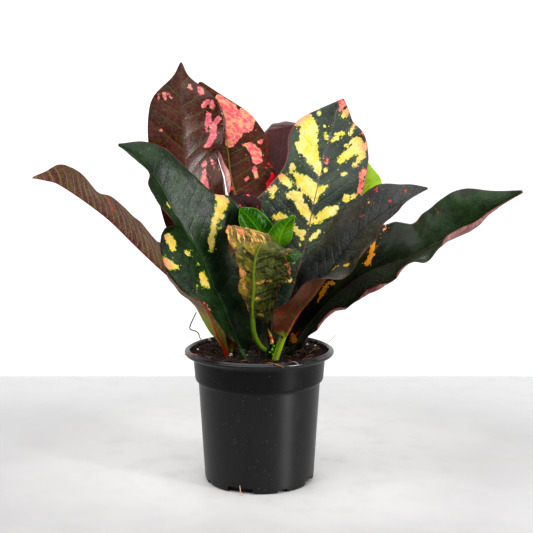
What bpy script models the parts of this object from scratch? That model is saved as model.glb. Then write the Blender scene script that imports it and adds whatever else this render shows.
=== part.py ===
"""Potted croton: fifteen leaves on three rooted cuttings in a 12 cm nursery pot."""

import math

import bpy
import numpy as np

MM = 0.001
GAP = 0.3  # clearance between two pieces that would touch

POT_STEPS = 48  # flats round the pot and the soil
SHARP = 40  # an edge that turns by more degrees stays crisp
FLOOR = 1.6  # thickness of the pot's floor
NOTCH_IN, NOTCH_OUT = 38.0, 48.0  # radii between which a drain notch is cut
NOTCH_FLARE = 1.2  # how much wider each side of a notch gets at the bottom

SOIL_TOP = 98.6
SOIL_BUMP = 0.9  # height of the crumbs
SOIL_BANK = 6.6  # how far the soil climbs towards the wall
BANK_START, BANK_WIDTH = 31.0, 18.0  # radius where the climb starts, and its width
SOIL_RINGS = (9, 18, 26, 33, 39, 44, 48.5)  # radii of the points on its top
HOLE_DEPTH = 8.0  # how deep a stem or stalk stands in the soil
HOLE_RISE = 6.0  # how far the cutter of its hole stands above the soil

BLADE = 0.9  # leaf thickness
SMALL_SHARE = 0.8  # a small leaf's thickness as a share of that
STATIONS = 26  # rows of points along a leaf
SMALL_STATIONS = 12
RIB_WIDTH = 2.0  # how far from the midrib the first row of points stands
RIB_DEPTH = 1.2  # height of the rib under the base, as a share of the stalk's radius
STALK_FLARE = 1.12  # the foot of a stalk is this much thicker than its top
BLEND_ROWS = 2  # rows over which the round stalk turns into the blade
STEM_SIDES = 12
HOLE_SIDES = 16

# Outer side of the pot from the lip down, then its underside: radius and height.
POT_OUTER = [
    (55.6, 107.1),
    (56.3, 108.0),
    (57.3, 108.0),
    (58.0, 106.5),
    (59.2, 106.9),
    (60.0, 105.8),
    (59.8, 104.4),
    (58.6, 103.3),
    (54.4, 102.9),
    (53.0, 101.4),
    (51.6, 84.6),
    (51.0, 82.9),
    (49.2, 81.6),
    (48.8, 80.4),
    (44.3, 5.0),
    (43.8, 1.8),
    (42.6, 0.0),
    (0.0, 0.0),
]
# Inner side of the pot from the floor up to the lip.
POT_INNER = [
    (0.0, FLOOR),
    (41.2, FLOOR),
    (42.9, 5.2),
    (47.4, 80.2),
    (48.0, 82.7),
    (50.2, 85.2),
    (51.5, 99.5),
    (52.6, 102.4),
    (55.0, 105.8),
]
# Side and underside of the soil, just inside the pot: radius and height.
SOIL_SIDE = [
    (54.2, 105.4),
    (52.0, 102.3),
    (51.1, 99.5),
    (49.8, 85.4),
    (47.6, 82.8),
    (47.0, 80.2),
    (42.5, 5.3),
    (40.8, FLOOR + GAP),
    (0.0, FLOOR + GAP),
]
# Drain notches at the foot: angle from the front in degrees, width and height.
NOTCHES = [
    (-20, 20.0, 5.0),
    (25, 8.0, 3.0),
    (70, 20.0, 5.0),
    (115, 8.0, 3.0),
    (160, 20.0, 5.0),
    (-155, 8.0, 3.0),
    (-110, 20.0, 5.0),
    (-65, 8.0, 3.0),
]

# Stems: axis points and the radius at each, from below the soil up.
STEMS = {
    "stem_left": [
        (-23, 22, 91, 4.0),
        (-23, 22, 99, 4.0),
        (-23.5, 22, 108, 4.4),
        (-24, 22, 117, 3.8),
        (-24, 22, 122, 2.4),
    ],
    "stem_centre": [
        (5, 2, 91, 4.2),
        (5, 2, 99, 4.2),
        (5.2, 2.4, 106, 4.7),
        (5.6, 3.4, 124, 3.7),
        (6.6, 5.4, 150, 3.3),
        (7.4, 7, 170, 3.4),
        (8, 8, 184, 3.0),
        (8, 8, 190, 1.8),
    ],
    "stem_right": [
        (12, 19, 91, 3.6),
        (12, 19, 99, 3.6),
        (12, 20, 116, 3.4),
        (12.6, 23, 134, 3.5),
        (13, 25, 142, 3.0),
        (13, 25.5, 147, 1.8),
    ],
}

# Each leaf in millimetres, from base to tip. The left and right margins are those
# of the upper face seen with the tip up. A cup is the turn of each half in degrees
# from the midrib out, towards the upper face when positive, at even steps along
# the leaf. A wave is its height at the margin, how many there are, and its start.
# A blend is the rows over which this leaf's stalk turns into its blade.
LEAVES = {
    "leaf_far_left": {
        "on": "soil",
        "stalk_r": 2.4,
        "stalk": [(-26.5, 12, 91), (-26.5, 12, 98)],
        "mid": [
            (-27, 12, 103), (-32.5, 12, 117), (-38.5, 12, 133), (-47.5, 11, 147),
            (-61, 10, 158), (-76, 9, 169), (-97, 8, 189), (-117, 7, 209),
            (-137, 6, 225), (-158, 5, 239), (-168, 4, 242), (-179, 4, 244),
        ],
        "left": [
            (-24, 11, 103), (-26, 8, 115), (-28, 5, 126), (-31, 1, 138),
            (-34, -3, 151), (-39, -7, 162), (-45, -11, 172), (-51, -14, 180),
            (-60, -18, 187), (-71, -21, 193), (-81, -24, 198), (-91, -26, 213),
            (-101, -27, 222), (-113, -26, 231), (-123, -25, 235), (-133, -19, 246),
            (-146, -12, 253), (-157, -6, 255), (-169, -1, 249), (-178, 4, 245),
        ],
        "right": [
            (-30, 13, 102), (-40.5, 19, 118), (-51, 26, 132), (-61, 32, 143),
            (-72, 38, 156), (-85, 41, 171), (-104, 42, 191), (-123, 41, 212),
            (-142, 38, 229), (-161, 28, 244), (-171, 14, 246), (-179, 5, 243),
        ],
        "cup_left": [0, 10, 20, -20, -30, -25, 0],
        "cup_right": [0, 20, 20, 10, 0, 0],
        "wave_left": (1.0, 6.0, 0.1),
        "wave_right": (2.0, 4.0, 0.4),
    },
    "leaf_front_left": {
        "on": "soil",
        "blend": 1,
        "stalk_r": 2.6,
        "stalk": [(-12, 0, 91), (-12, 0, 97.5)],
        "mid": [
            (-13, 0, 102), (-18, -2, 115), (-24, -5, 131), (-30, -9, 147),
            (-37, -13, 163), (-44, -17, 183), (-56, -20, 203), (-61, -21, 212),
            (-66, -22, 220), (-74, -23, 237), (-83, -23, 252), (-94, -21, 264),
            (-108, -18, 271),
        ],
        "left": [
            (-15, -1, 102), (-18.6, -4, 112), (-25, -9, 119), (-34.5, -17, 134),
            (-45, -27, 150), (-57, -35, 159), (-69, -40, 174), (-75, -43, 192),
            (-71, -47, 208), (-64, -50, 213), (-68, -50, 220), (-76, -50, 231),
            (-82, -48, 243), (-83, -44, 251), (-89, -38, 258), (-99, -29, 265),
            (-108, -18, 270),
        ],
        "right": [
            (-10, 1, 102), (-6, 0, 112), (-4, 1, 129), (-3, 3, 146),
            (-2, 5, 166), (-4, 5, 190), (-14, 3, 218), (-24, 1, 230),
            (-36, -2, 233), (-53, -7, 248), (-69, -12, 266), (-87, -16, 273),
            (-108, -18, 272),
        ],
        "cup_left": [20, -10, -25, -30, -20, 20, -10, 0, 0],
        "cup_right": [20, 30, 40, 45, 30, 10, -20, -20, 0],
        "wave_left": (1.2, 5.0, 0.2),
        "wave_right": (1.5, 5.0, 0.6),
    },
    "leaf_tall_maroon": {
        "on": "stem_left",
        "stalk_r": 1.9,
        "stalk": [(-23.8, 22, 112), (-28, 20, 119), (-33.5, 18, 128)],
        "mid": [
            (-39, 18, 140), (-46, 20, 168), (-51, 22, 196), (-56, 25, 222),
            (-59, 29, 248), (-61, 34, 268), (-63, 39, 290), (-64, 44, 308),
            (-64, 48, 322), (-64, 51, 335),
        ],
        "left": [
            (-41, 18, 140), (-59, 19, 173), (-74, 20, 200), (-81, 24, 223),
            (-87, 29, 249), (-90, 34, 273), (-90, 38, 293), (-86, 43, 307),
            (-71, 48, 323), (-65, 51, 334),
        ],
        "right": [
            (-37, 18, 140), (-30, 24, 174), (-27, 31, 206), (-28.5, 35.5, 236),
            (-34, 41, 259.5), (-30, 45, 271), (-28, 48, 288), (-37, 49, 307),
            (-57, 50, 323), (-63, 51, 334),
        ],
        "cup_left": [20, 0, -5, -10, -10, 0],
        "cup_right": [20, 10, 18, 18, 10, 0],
        "wave_left": (1.0, 4.0, 0.0),
        "wave_right": (1.2, 5.0, 0.5),
    },
    "leaf_pink": {
        "on": "stem_centre",
        "stalk_r": 1.7,
        "stalk": [(7.7, 7.5, 178), (1, 13, 193), (-8, 21.5, 207)],
        "mid": [
            (-16, 30, 220), (-20.5, 38, 231), (-24, 47, 245), (-26, 56, 261),
            (-29, 64, 277), (-33, 72, 291), (-40, 79, 305), (-50, 85, 319),
        ],
        "left": [
            (-18, 30, 220), (-24.5, 37, 230), (-29, 45, 245), (-34.5, 54, 261),
            (-50, 68, 277), (-60, 77, 291), (-59, 83, 306), (-51, 85, 319),
        ],
        "right": [
            (-14, 30, 220), (2, 40, 227), (13, 48, 240), (9, 56, 256),
            (7, 63, 271), (-2, 70, 286), (-19, 77, 300), (-49, 85, 319),
        ],
        "cup_left": [10, -15, -20, -10],
        "cup_right": [10, -20, -25, -10],
        "wave_left": (1.0, 4.0, 0.3),
        "wave_right": (1.2, 4.0, 0.0),
    },
    "leaf_back_maroon": {
        "on": "stem_right",
        "stalk_r": 1.6,
        "stalk": [(13, 25, 141), (12, 30, 155), (10, 34, 178), (9, 36, 198)],
        "mid": [
            (9, 38, 212), (13, 55, 230), (16, 71, 250), (19, 85, 267),
            (21, 97, 280), (22, 110, 285), (22, 125, 282), (23, 139, 275),
        ],
        "left": [
            (8, 38, 213), (-4, 52, 228), (-9, 68, 250), (-5, 81, 265),
            (4, 93, 277), (11, 107, 282), (17, 123, 281), (22, 139, 275),
        ],
        "right": [
            (11, 38, 212), (27, 52, 230), (38, 68, 252), (41, 81, 269),
            (38, 93, 280), (32, 107, 284), (27, 123, 282), (24, 139, 275),
        ],
        "cup_left": [20, 15, 10, 0],
        "cup_right": [20, 15, 10, 0],
        "wave_left": (1.0, 3.0, 0.0),
        "wave_right": (1.0, 3.0, 0.5),
    },
    "leaf_yellow": {
        "on": "soil",
        "stalk_r": 2.3,
        "stalk": [(14, 9, 91), (14, 9, 99)],
        "mid": [
            (14, 9, 105), (19, 13, 125), (25, 17, 145), (31, 21, 166),
            (38, 27, 189), (42, 33, 209), (46, 39, 227), (50, 45, 242),
            (54, 51, 257), (58, 57, 270), (62, 62, 284), (65, 66, 295),
            (70, 69, 305),
        ],
        "left": [
            (12, 9, 105), (-6, 11, 119), (-7, 13, 138), (-4, 16, 166),
            (-7, 21, 196), (-7, 27, 219), (4, 33, 231), (18, 39, 247),
            (23, 46, 259), (24, 53, 275), (32, 59, 287), (48, 64, 296),
            (69, 69, 305),
        ],
        "right": [
            (16, 9, 104), (26, 11, 120), (36, 14, 138), (51, 19, 160),
            (68, 26, 187), (79, 32, 211), (85, 38, 231), (89, 45, 249),
            (90, 52, 261), (87, 57, 275), (79, 62, 285), (75, 66, 294),
            (71, 69, 304),
        ],
        "cup_left": [0, 10, 20, 20, 10, 0, -20, -20, -10, 0],
        "cup_right": [0, 10, 20, 20, 10, 10, -10, -10, 0],
        "wave_left": (1.3, 5.0, 0.0),
        "wave_right": (1.5, 5.0, 0.4),
    },
    "leaf_front_right": {
        "on": "soil",
        "stalk_r": 2.6,
        "stalk": [(13, -4, 91), (13, -4, 99), (16, -4, 109)],
        "mid": [
            (19, -4, 117), (23, -5, 127), (29, -7, 138), (39, -10, 150),
            (49, -13, 164), (61, -16, 181), (71, -18, 195), (81, -20, 207),
            (94, -22, 218), (111, -25, 229), (129, -28, 238),
        ],
        "left": [
            (18, -3, 118), (22, 2, 131), (24, 6, 143), (28, 10, 156),
            (33, 12, 169), (42, 13, 185), (54, 12, 202), (67, 9, 218),
            (80, 3, 230), (95, -6, 239), (112, -15, 241), (129, -27, 239),
        ],
        "right": [
            (17, -7, 116), (11, -16, 123), (10, -24, 131), (12, -30, 142),
            (22, -36, 152), (33, -40, 165), (47, -44, 169), (62, -46, 172),
            (75, -47, 183), (84, -46, 197), (91, -44, 210), (104, -38, 219),
            (116, -33, 232), (129, -29, 238),
        ],
        "cup_left": [10, 0, -20, -25, -20, 0],
        "cup_right": [0, 20, 30, 20, 20, 10, 0, 0],
        "wave_left": (1.0, 5.0, 0.3),
        "wave_right": (1.8, 5.0, 0.0),
    },
    "leaf_far_right": {
        "on": "soil",
        "blend": 1,
        "stalk_r": 2.4,
        "stalk": [(25.2, 14, 91), (25.2, 14, 99)],
        "mid": [
            (27, 14, 103), (33, 15, 113), (42, 17, 125), (53, 19, 138),
            (67, 20, 151), (83, 20, 163), (102, 19, 172), (123, 17, 179),
            (141, 15, 190), (164, 12, 201), (187, 9, 219), (209, 6, 233),
        ],
        "left": [
            (21, 17, 103), (19, 20, 109), (21, 24, 121), (26, 27, 134),
            (37, 31, 149), (50, 34, 165), (64, 38, 180), (80, 40, 193),
            (100, 42, 202), (112, 40, 205), (125, 37, 203), (135, 32, 214),
            (149, 26, 226), (164, 20, 234), (186, 13, 233), (208, 6, 234),
        ],
        "right": [
            (31, 11, 102), (34, 7, 105.5), (36, 2, 111), (40, -2, 118),
            (46, -6, 125), (53, -8, 132), (61, -10, 139), (69, -12, 143),
            (79, -13, 149), (88, -14, 154), (98, -16, 161), (108, -16, 168),
            (118, -17, 178), (129, -17, 180), (139, -15, 190), (155, -12, 200),
            (170, -9, 207), (180, -5, 216), (196, 1, 225), (209, 6, 232),
        ],
        "cup_left": [10, 20, 10, -15, -25, -20, 0],
        "cup_right": [10, 20, 30, 35, 40, 40, 30, 10, 20, 40, 20, 0],
        "wave_left": (1.0, 5.0, 0.0),
        "wave_right": (1.0, 6.0, 0.5),
    },
    "leaf_crumpled": {
        "on": "stem_centre",
        "stalk_r": 2.0,
        "stalk": [(5.2, 2.5, 106), (3, -4, 108), (-1, -9, 114), (-4, -14, 123)],
        "mid": [
            (-5, -18, 134), (-5, -23, 149), (-4, -27, 161), (-4, -30, 174),
            (-2.5, -32, 186), (1, -32, 194), (5, -28, 199), (7.5, -20, 202),
            (7, -10, 200.5),
        ],
        "left": [
            (-3, -18, 134), (8, -15, 132), (13, -19, 148), (18, -25, 163),
            (25, -32, 173), (20, -36, 185), (26.5, -34, 193), (18, -24, 193),
            (10, -12, 197),
        ],
        "right": [
            (-7, -18, 134), (-10, -22, 147), (-16, -25, 159), (-15, -29, 172),
            (-18, -33, 186), (-22, -36, 198), (-25, -34, 208), (-21, -26, 211),
            (-9, -14, 207),
        ],
        "cup_left": [0, -30, -30, -40, 0],
        "cup_right": [0, -30, -30, -40, 0],
        "wave_left": (1.6, 4.0, 0.0),
        "wave_right": (1.6, 4.0, 0.5),
    },
    "leaf_lime_behind": {
        "on": "stem_right",
        "stalk_r": 1.6,
        "stalk": [(13, 25, 138), (16, 26.5, 144), (19, 27, 148)],
        "mid": [
            (22, 27, 153), (34, 36, 170), (52, 46, 191), (66, 56, 211),
            (74, 64, 231), (79, 71, 247), (80, 76, 262),
        ],
        "left": [
            (20, 27, 153), (24, 40, 173), (35, 53, 195), (48, 65, 214),
            (58, 73, 232), (67, 78, 248), (79, 76, 262),
        ],
        "right": [
            (24, 27, 153), (42, 37, 164), (67, 47, 181), (90, 53, 212),
            (102, 61, 234), (94, 70, 249), (81, 76, 262),
        ],
        "cup_left": [20, 10, -15, 0],
        "cup_right": [20, 10, -25, 0],
        "wave_left": (1.0, 4.0, 0.0),
        "wave_right": (1.0, 4.0, 0.5),
    },
    "leaf_small_maroon": {
        "on": "stem_centre",
        "small": True,
        "stalk_r": 1.2,
        "stalk": [(8, 8, 188), (5, 8, 196), (1, 10, 204)],
        "mid": [(-2.5, 12, 210.5), (-9, 13, 218.5), (-14, 15, 224.5), (-17, 19, 228), (-19, 24, 228.5)],
        "left": [(-4, 12, 210), (-17, 10, 213), (-25, 13, 221.5), (-26.5, 19, 227.5), (-20.5, 24, 228)],
        "right": [(-1, 12, 211), (2, 14, 220.5), (-2.5, 18, 227.5), (-10, 22, 231), (-17.5, 24, 229)],
        "cup_left": [0, -30, -30, 0],
        "cup_right": [0, -30, -30, 0],
        "wave_left": (0.5, 2.0, 0.0),
        "wave_right": (0.5, 2.0, 0.5),
    },
    "leaf_small_low": {
        "on": "stem_left",
        "small": True,
        "stalk_r": 1.3,
        "stalk": [(-23, 22, 101), (-23, 18.5, 100.5)],
        "mid": [(-23, 15.5, 102), (-23.6, 15, 105.5), (-24.6, 15.5, 109.5), (-26, 16.5, 113)],
        "left": [
            (-24.5, 16, 102), (-28, 17, 104.5), (-29.5, 18, 108.5), (-28.5, 17.5, 112),
            (-26.5, 16.5, 113),
        ],
        "right": [
            (-21.5, 15, 102), (-17.6, 13, 106), (-19, 13.5, 110.5), (-22.5, 15, 113),
            (-25.5, 16.3, 113.4),
        ],
        "cup_left": [0, 20, 0],
        "cup_right": [0, 30, 20, 0],
        "wave_left": (0.0, 1.0, 0.0),
        "wave_right": (0.0, 1.0, 0.0),
    },
    "bud_leaf_left": {
        "on": "stem_centre",
        "small": True,
        "stalk_r": 1.3,
        "stalk": [(8, 8, 183), (7.5, 2, 186)],
        "mid": [(7, -3, 192), (1.5, -5, 201), (-6.5, -6, 211.5), (-15, -7, 221)],
        "left": [(5.5, -4, 191.5), (-8.5, -11, 196.5), (-15.5, -11, 208.5), (-15.5, -7, 220.5)],
        "right": [(8.5, -2, 192.5), (11, 5, 205), (-0.5, 1, 219), (-14, -6, 222)],
        "cup_left": [0, 60, 60, 0],
        "cup_right": [0, 60, 60, 0],
        "wave_left": (0.4, 2.0, 0.0),
        "wave_right": (0.4, 2.0, 0.5),
    },
    "bud_leaf_right": {
        "on": "stem_centre",
        "small": True,
        "stalk_r": 1.2,
        "stalk": [(8, 8, 179), (13, 4, 182)],
        "mid": [(15.5, 0, 188), (16.5, -3, 197), (20.5, -2, 206.5), (28, 0, 215)],
        "left": [(14, -1, 188), (7, -9, 198.5), (13, -6, 209), (27, 0, 215)],
        "right": [(17, 1, 188), (25.5, 1, 195), (27, 2, 206), (28.5, 0, 214)],
        "cup_left": [0, 40, 30, 0],
        "cup_right": [0, 40, 30, 0],
        "wave_left": (0.3, 2.0, 0.0),
        "wave_right": (0.3, 2.0, 0.5),
    },
    "bud_leaf_small": {
        "on": "stem_centre",
        "small": True,
        "stalk_r": 1.1,
        "stalk": [(7.4, 7, 170), (14, 2, 175)],
        "mid": [(19.5, -1, 180), (25, -3, 184), (34, -4, 183.5)],
        "left": [(19.5, 0.5, 181), (25.5, 2, 189), (34, -3.5, 184)],
        "right": [(20, -2.5, 179), (27.5, -9, 178.5), (34.5, -4.5, 183)],
        "cup_left": [0, 30, 0],
        "cup_right": [0, 30, 0],
        "wave_left": (0.0, 1.0, 0.0),
        "wave_right": (0.0, 1.0, 0.0),
    },
}

COLOURS = {
    "pot": ((0.02, 0.02, 0.022), 0.35),
    "soil": ((0.045, 0.025, 0.016), 0.95),
    "stem": ((0.16, 0.2, 0.06), 0.7),
    "leaf_far_left": ((0.2, 0.12, 0.07), 0.45),
    "leaf_front_left": ((0.03, 0.1, 0.05), 0.35),
    "leaf_tall_maroon": ((0.12, 0.025, 0.035), 0.35),
    "leaf_pink": ((0.6, 0.14, 0.2), 0.35),
    "leaf_back_maroon": ((0.09, 0.02, 0.03), 0.4),
    "leaf_yellow": ((0.65, 0.5, 0.07), 0.35),
    "leaf_front_right": ((0.05, 0.06, 0.05), 0.35),
    "leaf_far_right": ((0.03, 0.1, 0.03), 0.35),
    "leaf_crumpled": ((0.35, 0.32, 0.08), 0.45),
    "leaf_lime_behind": ((0.4, 0.6, 0.03), 0.4),
    "leaf_small_maroon": ((0.08, 0.02, 0.025), 0.35),
    "leaf_small_low": ((0.2, 0.05, 0.05), 0.4),
    "bud_leaf_left": ((0.07, 0.3, 0.03), 0.25),
    "bud_leaf_right": ((0.15, 0.4, 0.02), 0.3),
    "bud_leaf_small": ((0.07, 0.28, 0.04), 0.25),
}


def clear_scene():
    for old in list(bpy.data.objects):
        bpy.data.objects.remove(old, do_unlink=True)


def new_collection(name, helper=False):
    made = bpy.data.collections.new(name)
    bpy.context.scene.collection.children.link(made)
    made.hide_render = helper
    return made


def material(name, colour, roughness):
    made = bpy.data.materials.new(name)
    made.use_nodes = True
    shader = made.node_tree.nodes["Principled BSDF"]
    shader.inputs["Base Color"].default_value = (*colour, 1.0)
    shader.inputs["Roughness"].default_value = roughness
    return made


def add_object(name, points, faces, where):
    mesh = bpy.data.meshes.new(name)
    mesh.from_pydata([tuple(p) for p in np.asarray(points) * MM], [], faces)
    mesh.validate()
    mesh.shade_smooth()
    mesh.set_sharp_from_angle(angle=math.radians(SHARP))
    obj = bpy.data.objects.new(name, mesh)
    where.objects.link(obj)
    return obj


def paint(obj, key):
    colour, roughness = COLOURS[key]
    obj.data.materials.append(material(obj.name, colour, roughness))


def cut(obj, cutter, name):
    """Takes the cutter out of the object with an exact Boolean."""
    cutter.hide_render = True
    cutter.display_type = "WIRE"
    boolean = obj.modifiers.new(name, "BOOLEAN")
    boolean.operation = "DIFFERENCE"
    boolean.solver = "EXACT"
    boolean.object = cutter


def unit(v):
    return v / np.maximum(np.linalg.norm(v, axis=-1, keepdims=True), 1e-9)


def smooth(points, count):
    """Catmull-Rom curve through the points, at even steps by index."""
    points = np.asarray(points, float)
    if points.ndim == 1:
        points = points[:, None]
    last = len(points) - 1
    ends = np.vstack([2 * points[0] - points[1], points, 2 * points[-1] - points[-2]])
    t = np.linspace(0, last, count)
    i = np.minimum(t.astype(int), last - 1)
    f = (t - i)[:, None]
    a, b, c, d = ends[i], ends[i + 1], ends[i + 2], ends[i + 3]
    slope = (c - a) * f
    bend = (2 * a - 5 * b + 4 * c - d) * f**2
    twist = (3 * b - a - 3 * c + d) * f**3
    return 0.5 * (2 * b + slope + bend + twist)


def half_blade(mid, edge, tangent, turn, side, across):
    """Points from the midrib to one margin along an arc, for each station."""
    chord = edge - mid
    length = np.linalg.norm(chord, axis=1)[:, None]
    along = unit(chord)
    up = unit(np.cross(along, tangent)) * side
    angle = np.radians(np.where(np.abs(turn) < 0.5, 0.5, turn))[:, None]
    radius = length / (2 * np.sin(angle / 2))
    phi = (across - 0.5) * angle
    out = length / 2 + radius * np.sin(phi)
    sag = radius * (np.cos(phi) - np.cos(angle / 2))
    return mid[:, None] + out[..., None] * along[:, None] - sag[..., None] * up[:, None]


def grid_normals(grid):
    normal = np.cross(np.gradient(grid, axis=1), np.gradient(grid, axis=0))
    return unit(normal)


def wave(grid, across, side, shape):
    """Lifts one margin in waves, more towards the edge and less at both ends."""
    height, count, start = shape
    s = np.linspace(0, 1, len(grid))
    ends = np.sqrt(np.sin(math.pi * s))
    lift = height * ends * np.sin(2 * math.pi * (count * s + start))
    share = np.clip(across * side, 0, 1) ** 2
    return grid + (lift[:, None] * share)[..., None] * grid_normals(grid)


def leaf_surface(leaf, stations):
    """Middle surface of the blade: a grid of points, and how far across each is."""
    mid = smooth(leaf["mid"], stations)
    left = smooth(leaf["left"], stations)
    right = smooth(leaf["right"], stations)
    turn_left = smooth(leaf["cup_left"], stations)[:, 0]
    turn_right = smooth(leaf["cup_right"], stations)[:, 0]
    tangent = unit(np.gradient(mid, axis=0))
    halves = []
    spread = []
    for edge, turn, side in ((left, turn_left, -1), (right, turn_right, 1)):
        width = np.linalg.norm(edge - mid, axis=1)
        first = np.clip(RIB_WIDTH / np.maximum(width, 0.1), 0.05, 0.45)
        second = 0.4 * first + 0.36
        across = np.stack([first, second, np.ones(stations)], axis=1)
        halves.append(half_blade(mid, edge, tangent, turn, side, across))
        spread.append(across * side)
    grid = np.concatenate([halves[0][:, ::-1], mid[:, None], halves[1]], axis=1)
    across = np.concatenate([spread[0][:, ::-1], np.zeros((stations, 1)), spread[1]], axis=1)
    grid = wave(grid, across, -1, leaf["wave_left"])
    grid = wave(grid, across, 1, leaf["wave_right"])
    return grid, across


def round_ring(centre, tangent, side, radius, across_count):
    """A ring of the stalk whose points match those of a blade ring."""
    tangent = unit(tangent)
    side = unit(side - tangent * np.dot(side, tangent))
    up = np.cross(side, tangent)
    steps = (np.arange(across_count) + 0.5) * math.pi / across_count
    over = [math.pi - a for a in steps]
    under = [-a for a in steps]
    points = []
    for angle in over + under:
        points.append(centre + radius * (math.cos(angle) * side + math.sin(angle) * up))
    return np.array(points)


def ring_faces(rings, width):
    """Triangles between rings, split alike on the upper and the lower face."""
    size = 2 * width
    faces = []
    for i in range(rings - 1):
        for j in range(size):
            k = (j + 1) % size
            a, b = i * size + j, i * size + k
            c, d = (i + 1) * size + k, (i + 1) * size + j
            if j < width:
                faces += [(a, b, c), (a, c, d)]
            else:
                faces += [(a, b, d), (b, c, d)]
    first = rings * size
    last = first + 1
    end = (rings - 1) * size
    for j in range(size):
        k = (j + 1) % size
        faces += [(first, k, j), (last, end + j, end + k)]
    return faces


def leaf_mesh(leaf):
    """Stalk and blade as one closed shell."""
    stations = SMALL_STATIONS if leaf.get("small") else STATIONS
    thick = BLADE * (SMALL_SHARE if leaf.get("small") else 1.0)
    grid, across = leaf_surface(leaf, stations)
    normal = grid_normals(grid)
    width = grid.shape[1]
    middle = width // 2
    s = np.linspace(0, 1, stations)
    spread = np.linalg.norm(grid[:, -1] - grid[:, 0], axis=1) / 2
    upper = grid + normal * thick / 2
    lower = grid - normal * thick / 2
    rib = leaf["stalk_r"] * RIB_DEPTH * (1 - s) ** 1.2 + 0.15
    rib = np.minimum(rib, 0.4 * spread)
    lower[:, middle] -= normal[:, middle] * rib[:, None]
    blade = np.concatenate([upper, lower[:, ::-1]], axis=1)

    path = np.vstack([leaf["stalk"], grid[0, middle]])
    stalk = smooth(path, 2 * len(path) - 1)[:-1]
    heading = np.gradient(np.vstack([stalk, grid[:2, middle]]), axis=0)
    side = grid[0, -1] - grid[0, 0]
    radii = np.linspace(leaf["stalk_r"] * STALK_FLARE, leaf["stalk_r"], len(stalk))
    rings = []
    for centre, tangent, radius in zip(stalk, heading, radii):
        rings.append(round_ring(centre, tangent, side, radius, width))
    for i, ring in enumerate(blade):
        blend = min(1.0, i / leaf.get("blend", BLEND_ROWS))
        if blend < 1:
            tangent = grid[i + 1, middle] - grid[max(i - 1, 0), middle]
            round_part = round_ring(grid[i, middle], tangent, side, leaf["stalk_r"], width)
            ring = blend * ring + (1 - blend) * round_part
        rings.append(ring)
    points = np.concatenate(rings)
    points = np.vstack([points, rings[0].mean(axis=0), rings[-1].mean(axis=0)])
    return points, ring_faces(len(rings), width)


def tube_mesh(axis, extra=0.0, sides=STEM_SIDES):
    """A stem, or with extra radius the space to leave free around it."""
    axis = np.asarray(axis, float)
    centres = axis[:, :3].copy()
    if extra:
        centres[0] -= (0, 0, 2)
        centres[-1] += (0, 0, extra)
    heading = np.gradient(centres, axis=0)
    rings = []
    for centre, tangent, radius in zip(centres, heading, axis[:, 3]):
        rings.append(round_ring(centre, tangent, np.array([1.0, 0, 0]), radius + extra, sides // 2))
    points = np.vstack([*rings, centres[0], centres[-1]])
    return points, ring_faces(len(rings), sides // 2)


def revolve(name, profile, where):
    """Turns a profile about Z: it runs down the outer side and back up inside."""
    mesh = bpy.data.meshes.new(name)
    points = [(r * MM, 0.0, z * MM) for r, z in profile]
    edges = [(i, i + 1) for i in range(len(points) - 1)]
    if profile[0][0] > 0:
        edges.append((len(points) - 1, 0))
    mesh.from_pydata(points, edges, [])
    obj = bpy.data.objects.new(name, mesh)
    where.objects.link(obj)
    screw = obj.modifiers.new("turn", "SCREW")
    screw.use_smooth_shade = True
    screw.steps = POT_STEPS
    screw.render_steps = POT_STEPS
    screw.use_merge_vertices = True
    screw.merge_threshold = 0.00005
    screw.use_normal_calculate = True
    return obj


def make_pot(where, helpers):
    pot = revolve("pot", POT_OUTER + POT_INNER, where)
    paint(pot, "pot")
    for i, (angle, width, height) in enumerate(NOTCHES):
        turn = math.radians(angle - 90)
        centre = np.array([math.cos(turn), math.sin(turn), 0.0])
        side = np.array([-math.sin(turn), math.cos(turn), 0.0])
        corners = ((NOTCH_IN, -1), (NOTCH_OUT, -1), (NOTCH_OUT, 1), (NOTCH_IN, 1))
        points = []
        for z, half in ((-2.0, width / 2 + NOTCH_FLARE), (height, width / 2)):
            for radial, across in corners:
                points.append(centre * radial + side * across * half + (0, 0, z))
        faces = [(3, 2, 1, 0), (4, 5, 6, 7), (0, 1, 5, 4), (1, 2, 6, 5), (2, 3, 7, 6), (3, 0, 4, 7)]
        notch = add_object(f"notch_{i}", points, faces, helpers)
        cut(pot, notch, f"drain {i}")
    return pot


def soil_height(x, y):
    """Small uneven crumbs on the soil's top, and a bank that climbs to the wall."""
    rough = math.sin(x * 0.31 + 1.3) * math.cos(y * 0.27 - 0.6)
    fine = math.sin(x * 0.83 - y * 0.55) * math.cos(y * 0.71 + x * 0.2)
    climb = min(1.0, max(0.0, (math.hypot(x, y) - BANK_START) / BANK_WIDTH))
    bank = SOIL_BANK * climb * climb * (3 - 2 * climb)
    return bank + SOIL_BUMP * (0.6 * rough + 0.4 * fine)


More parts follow.
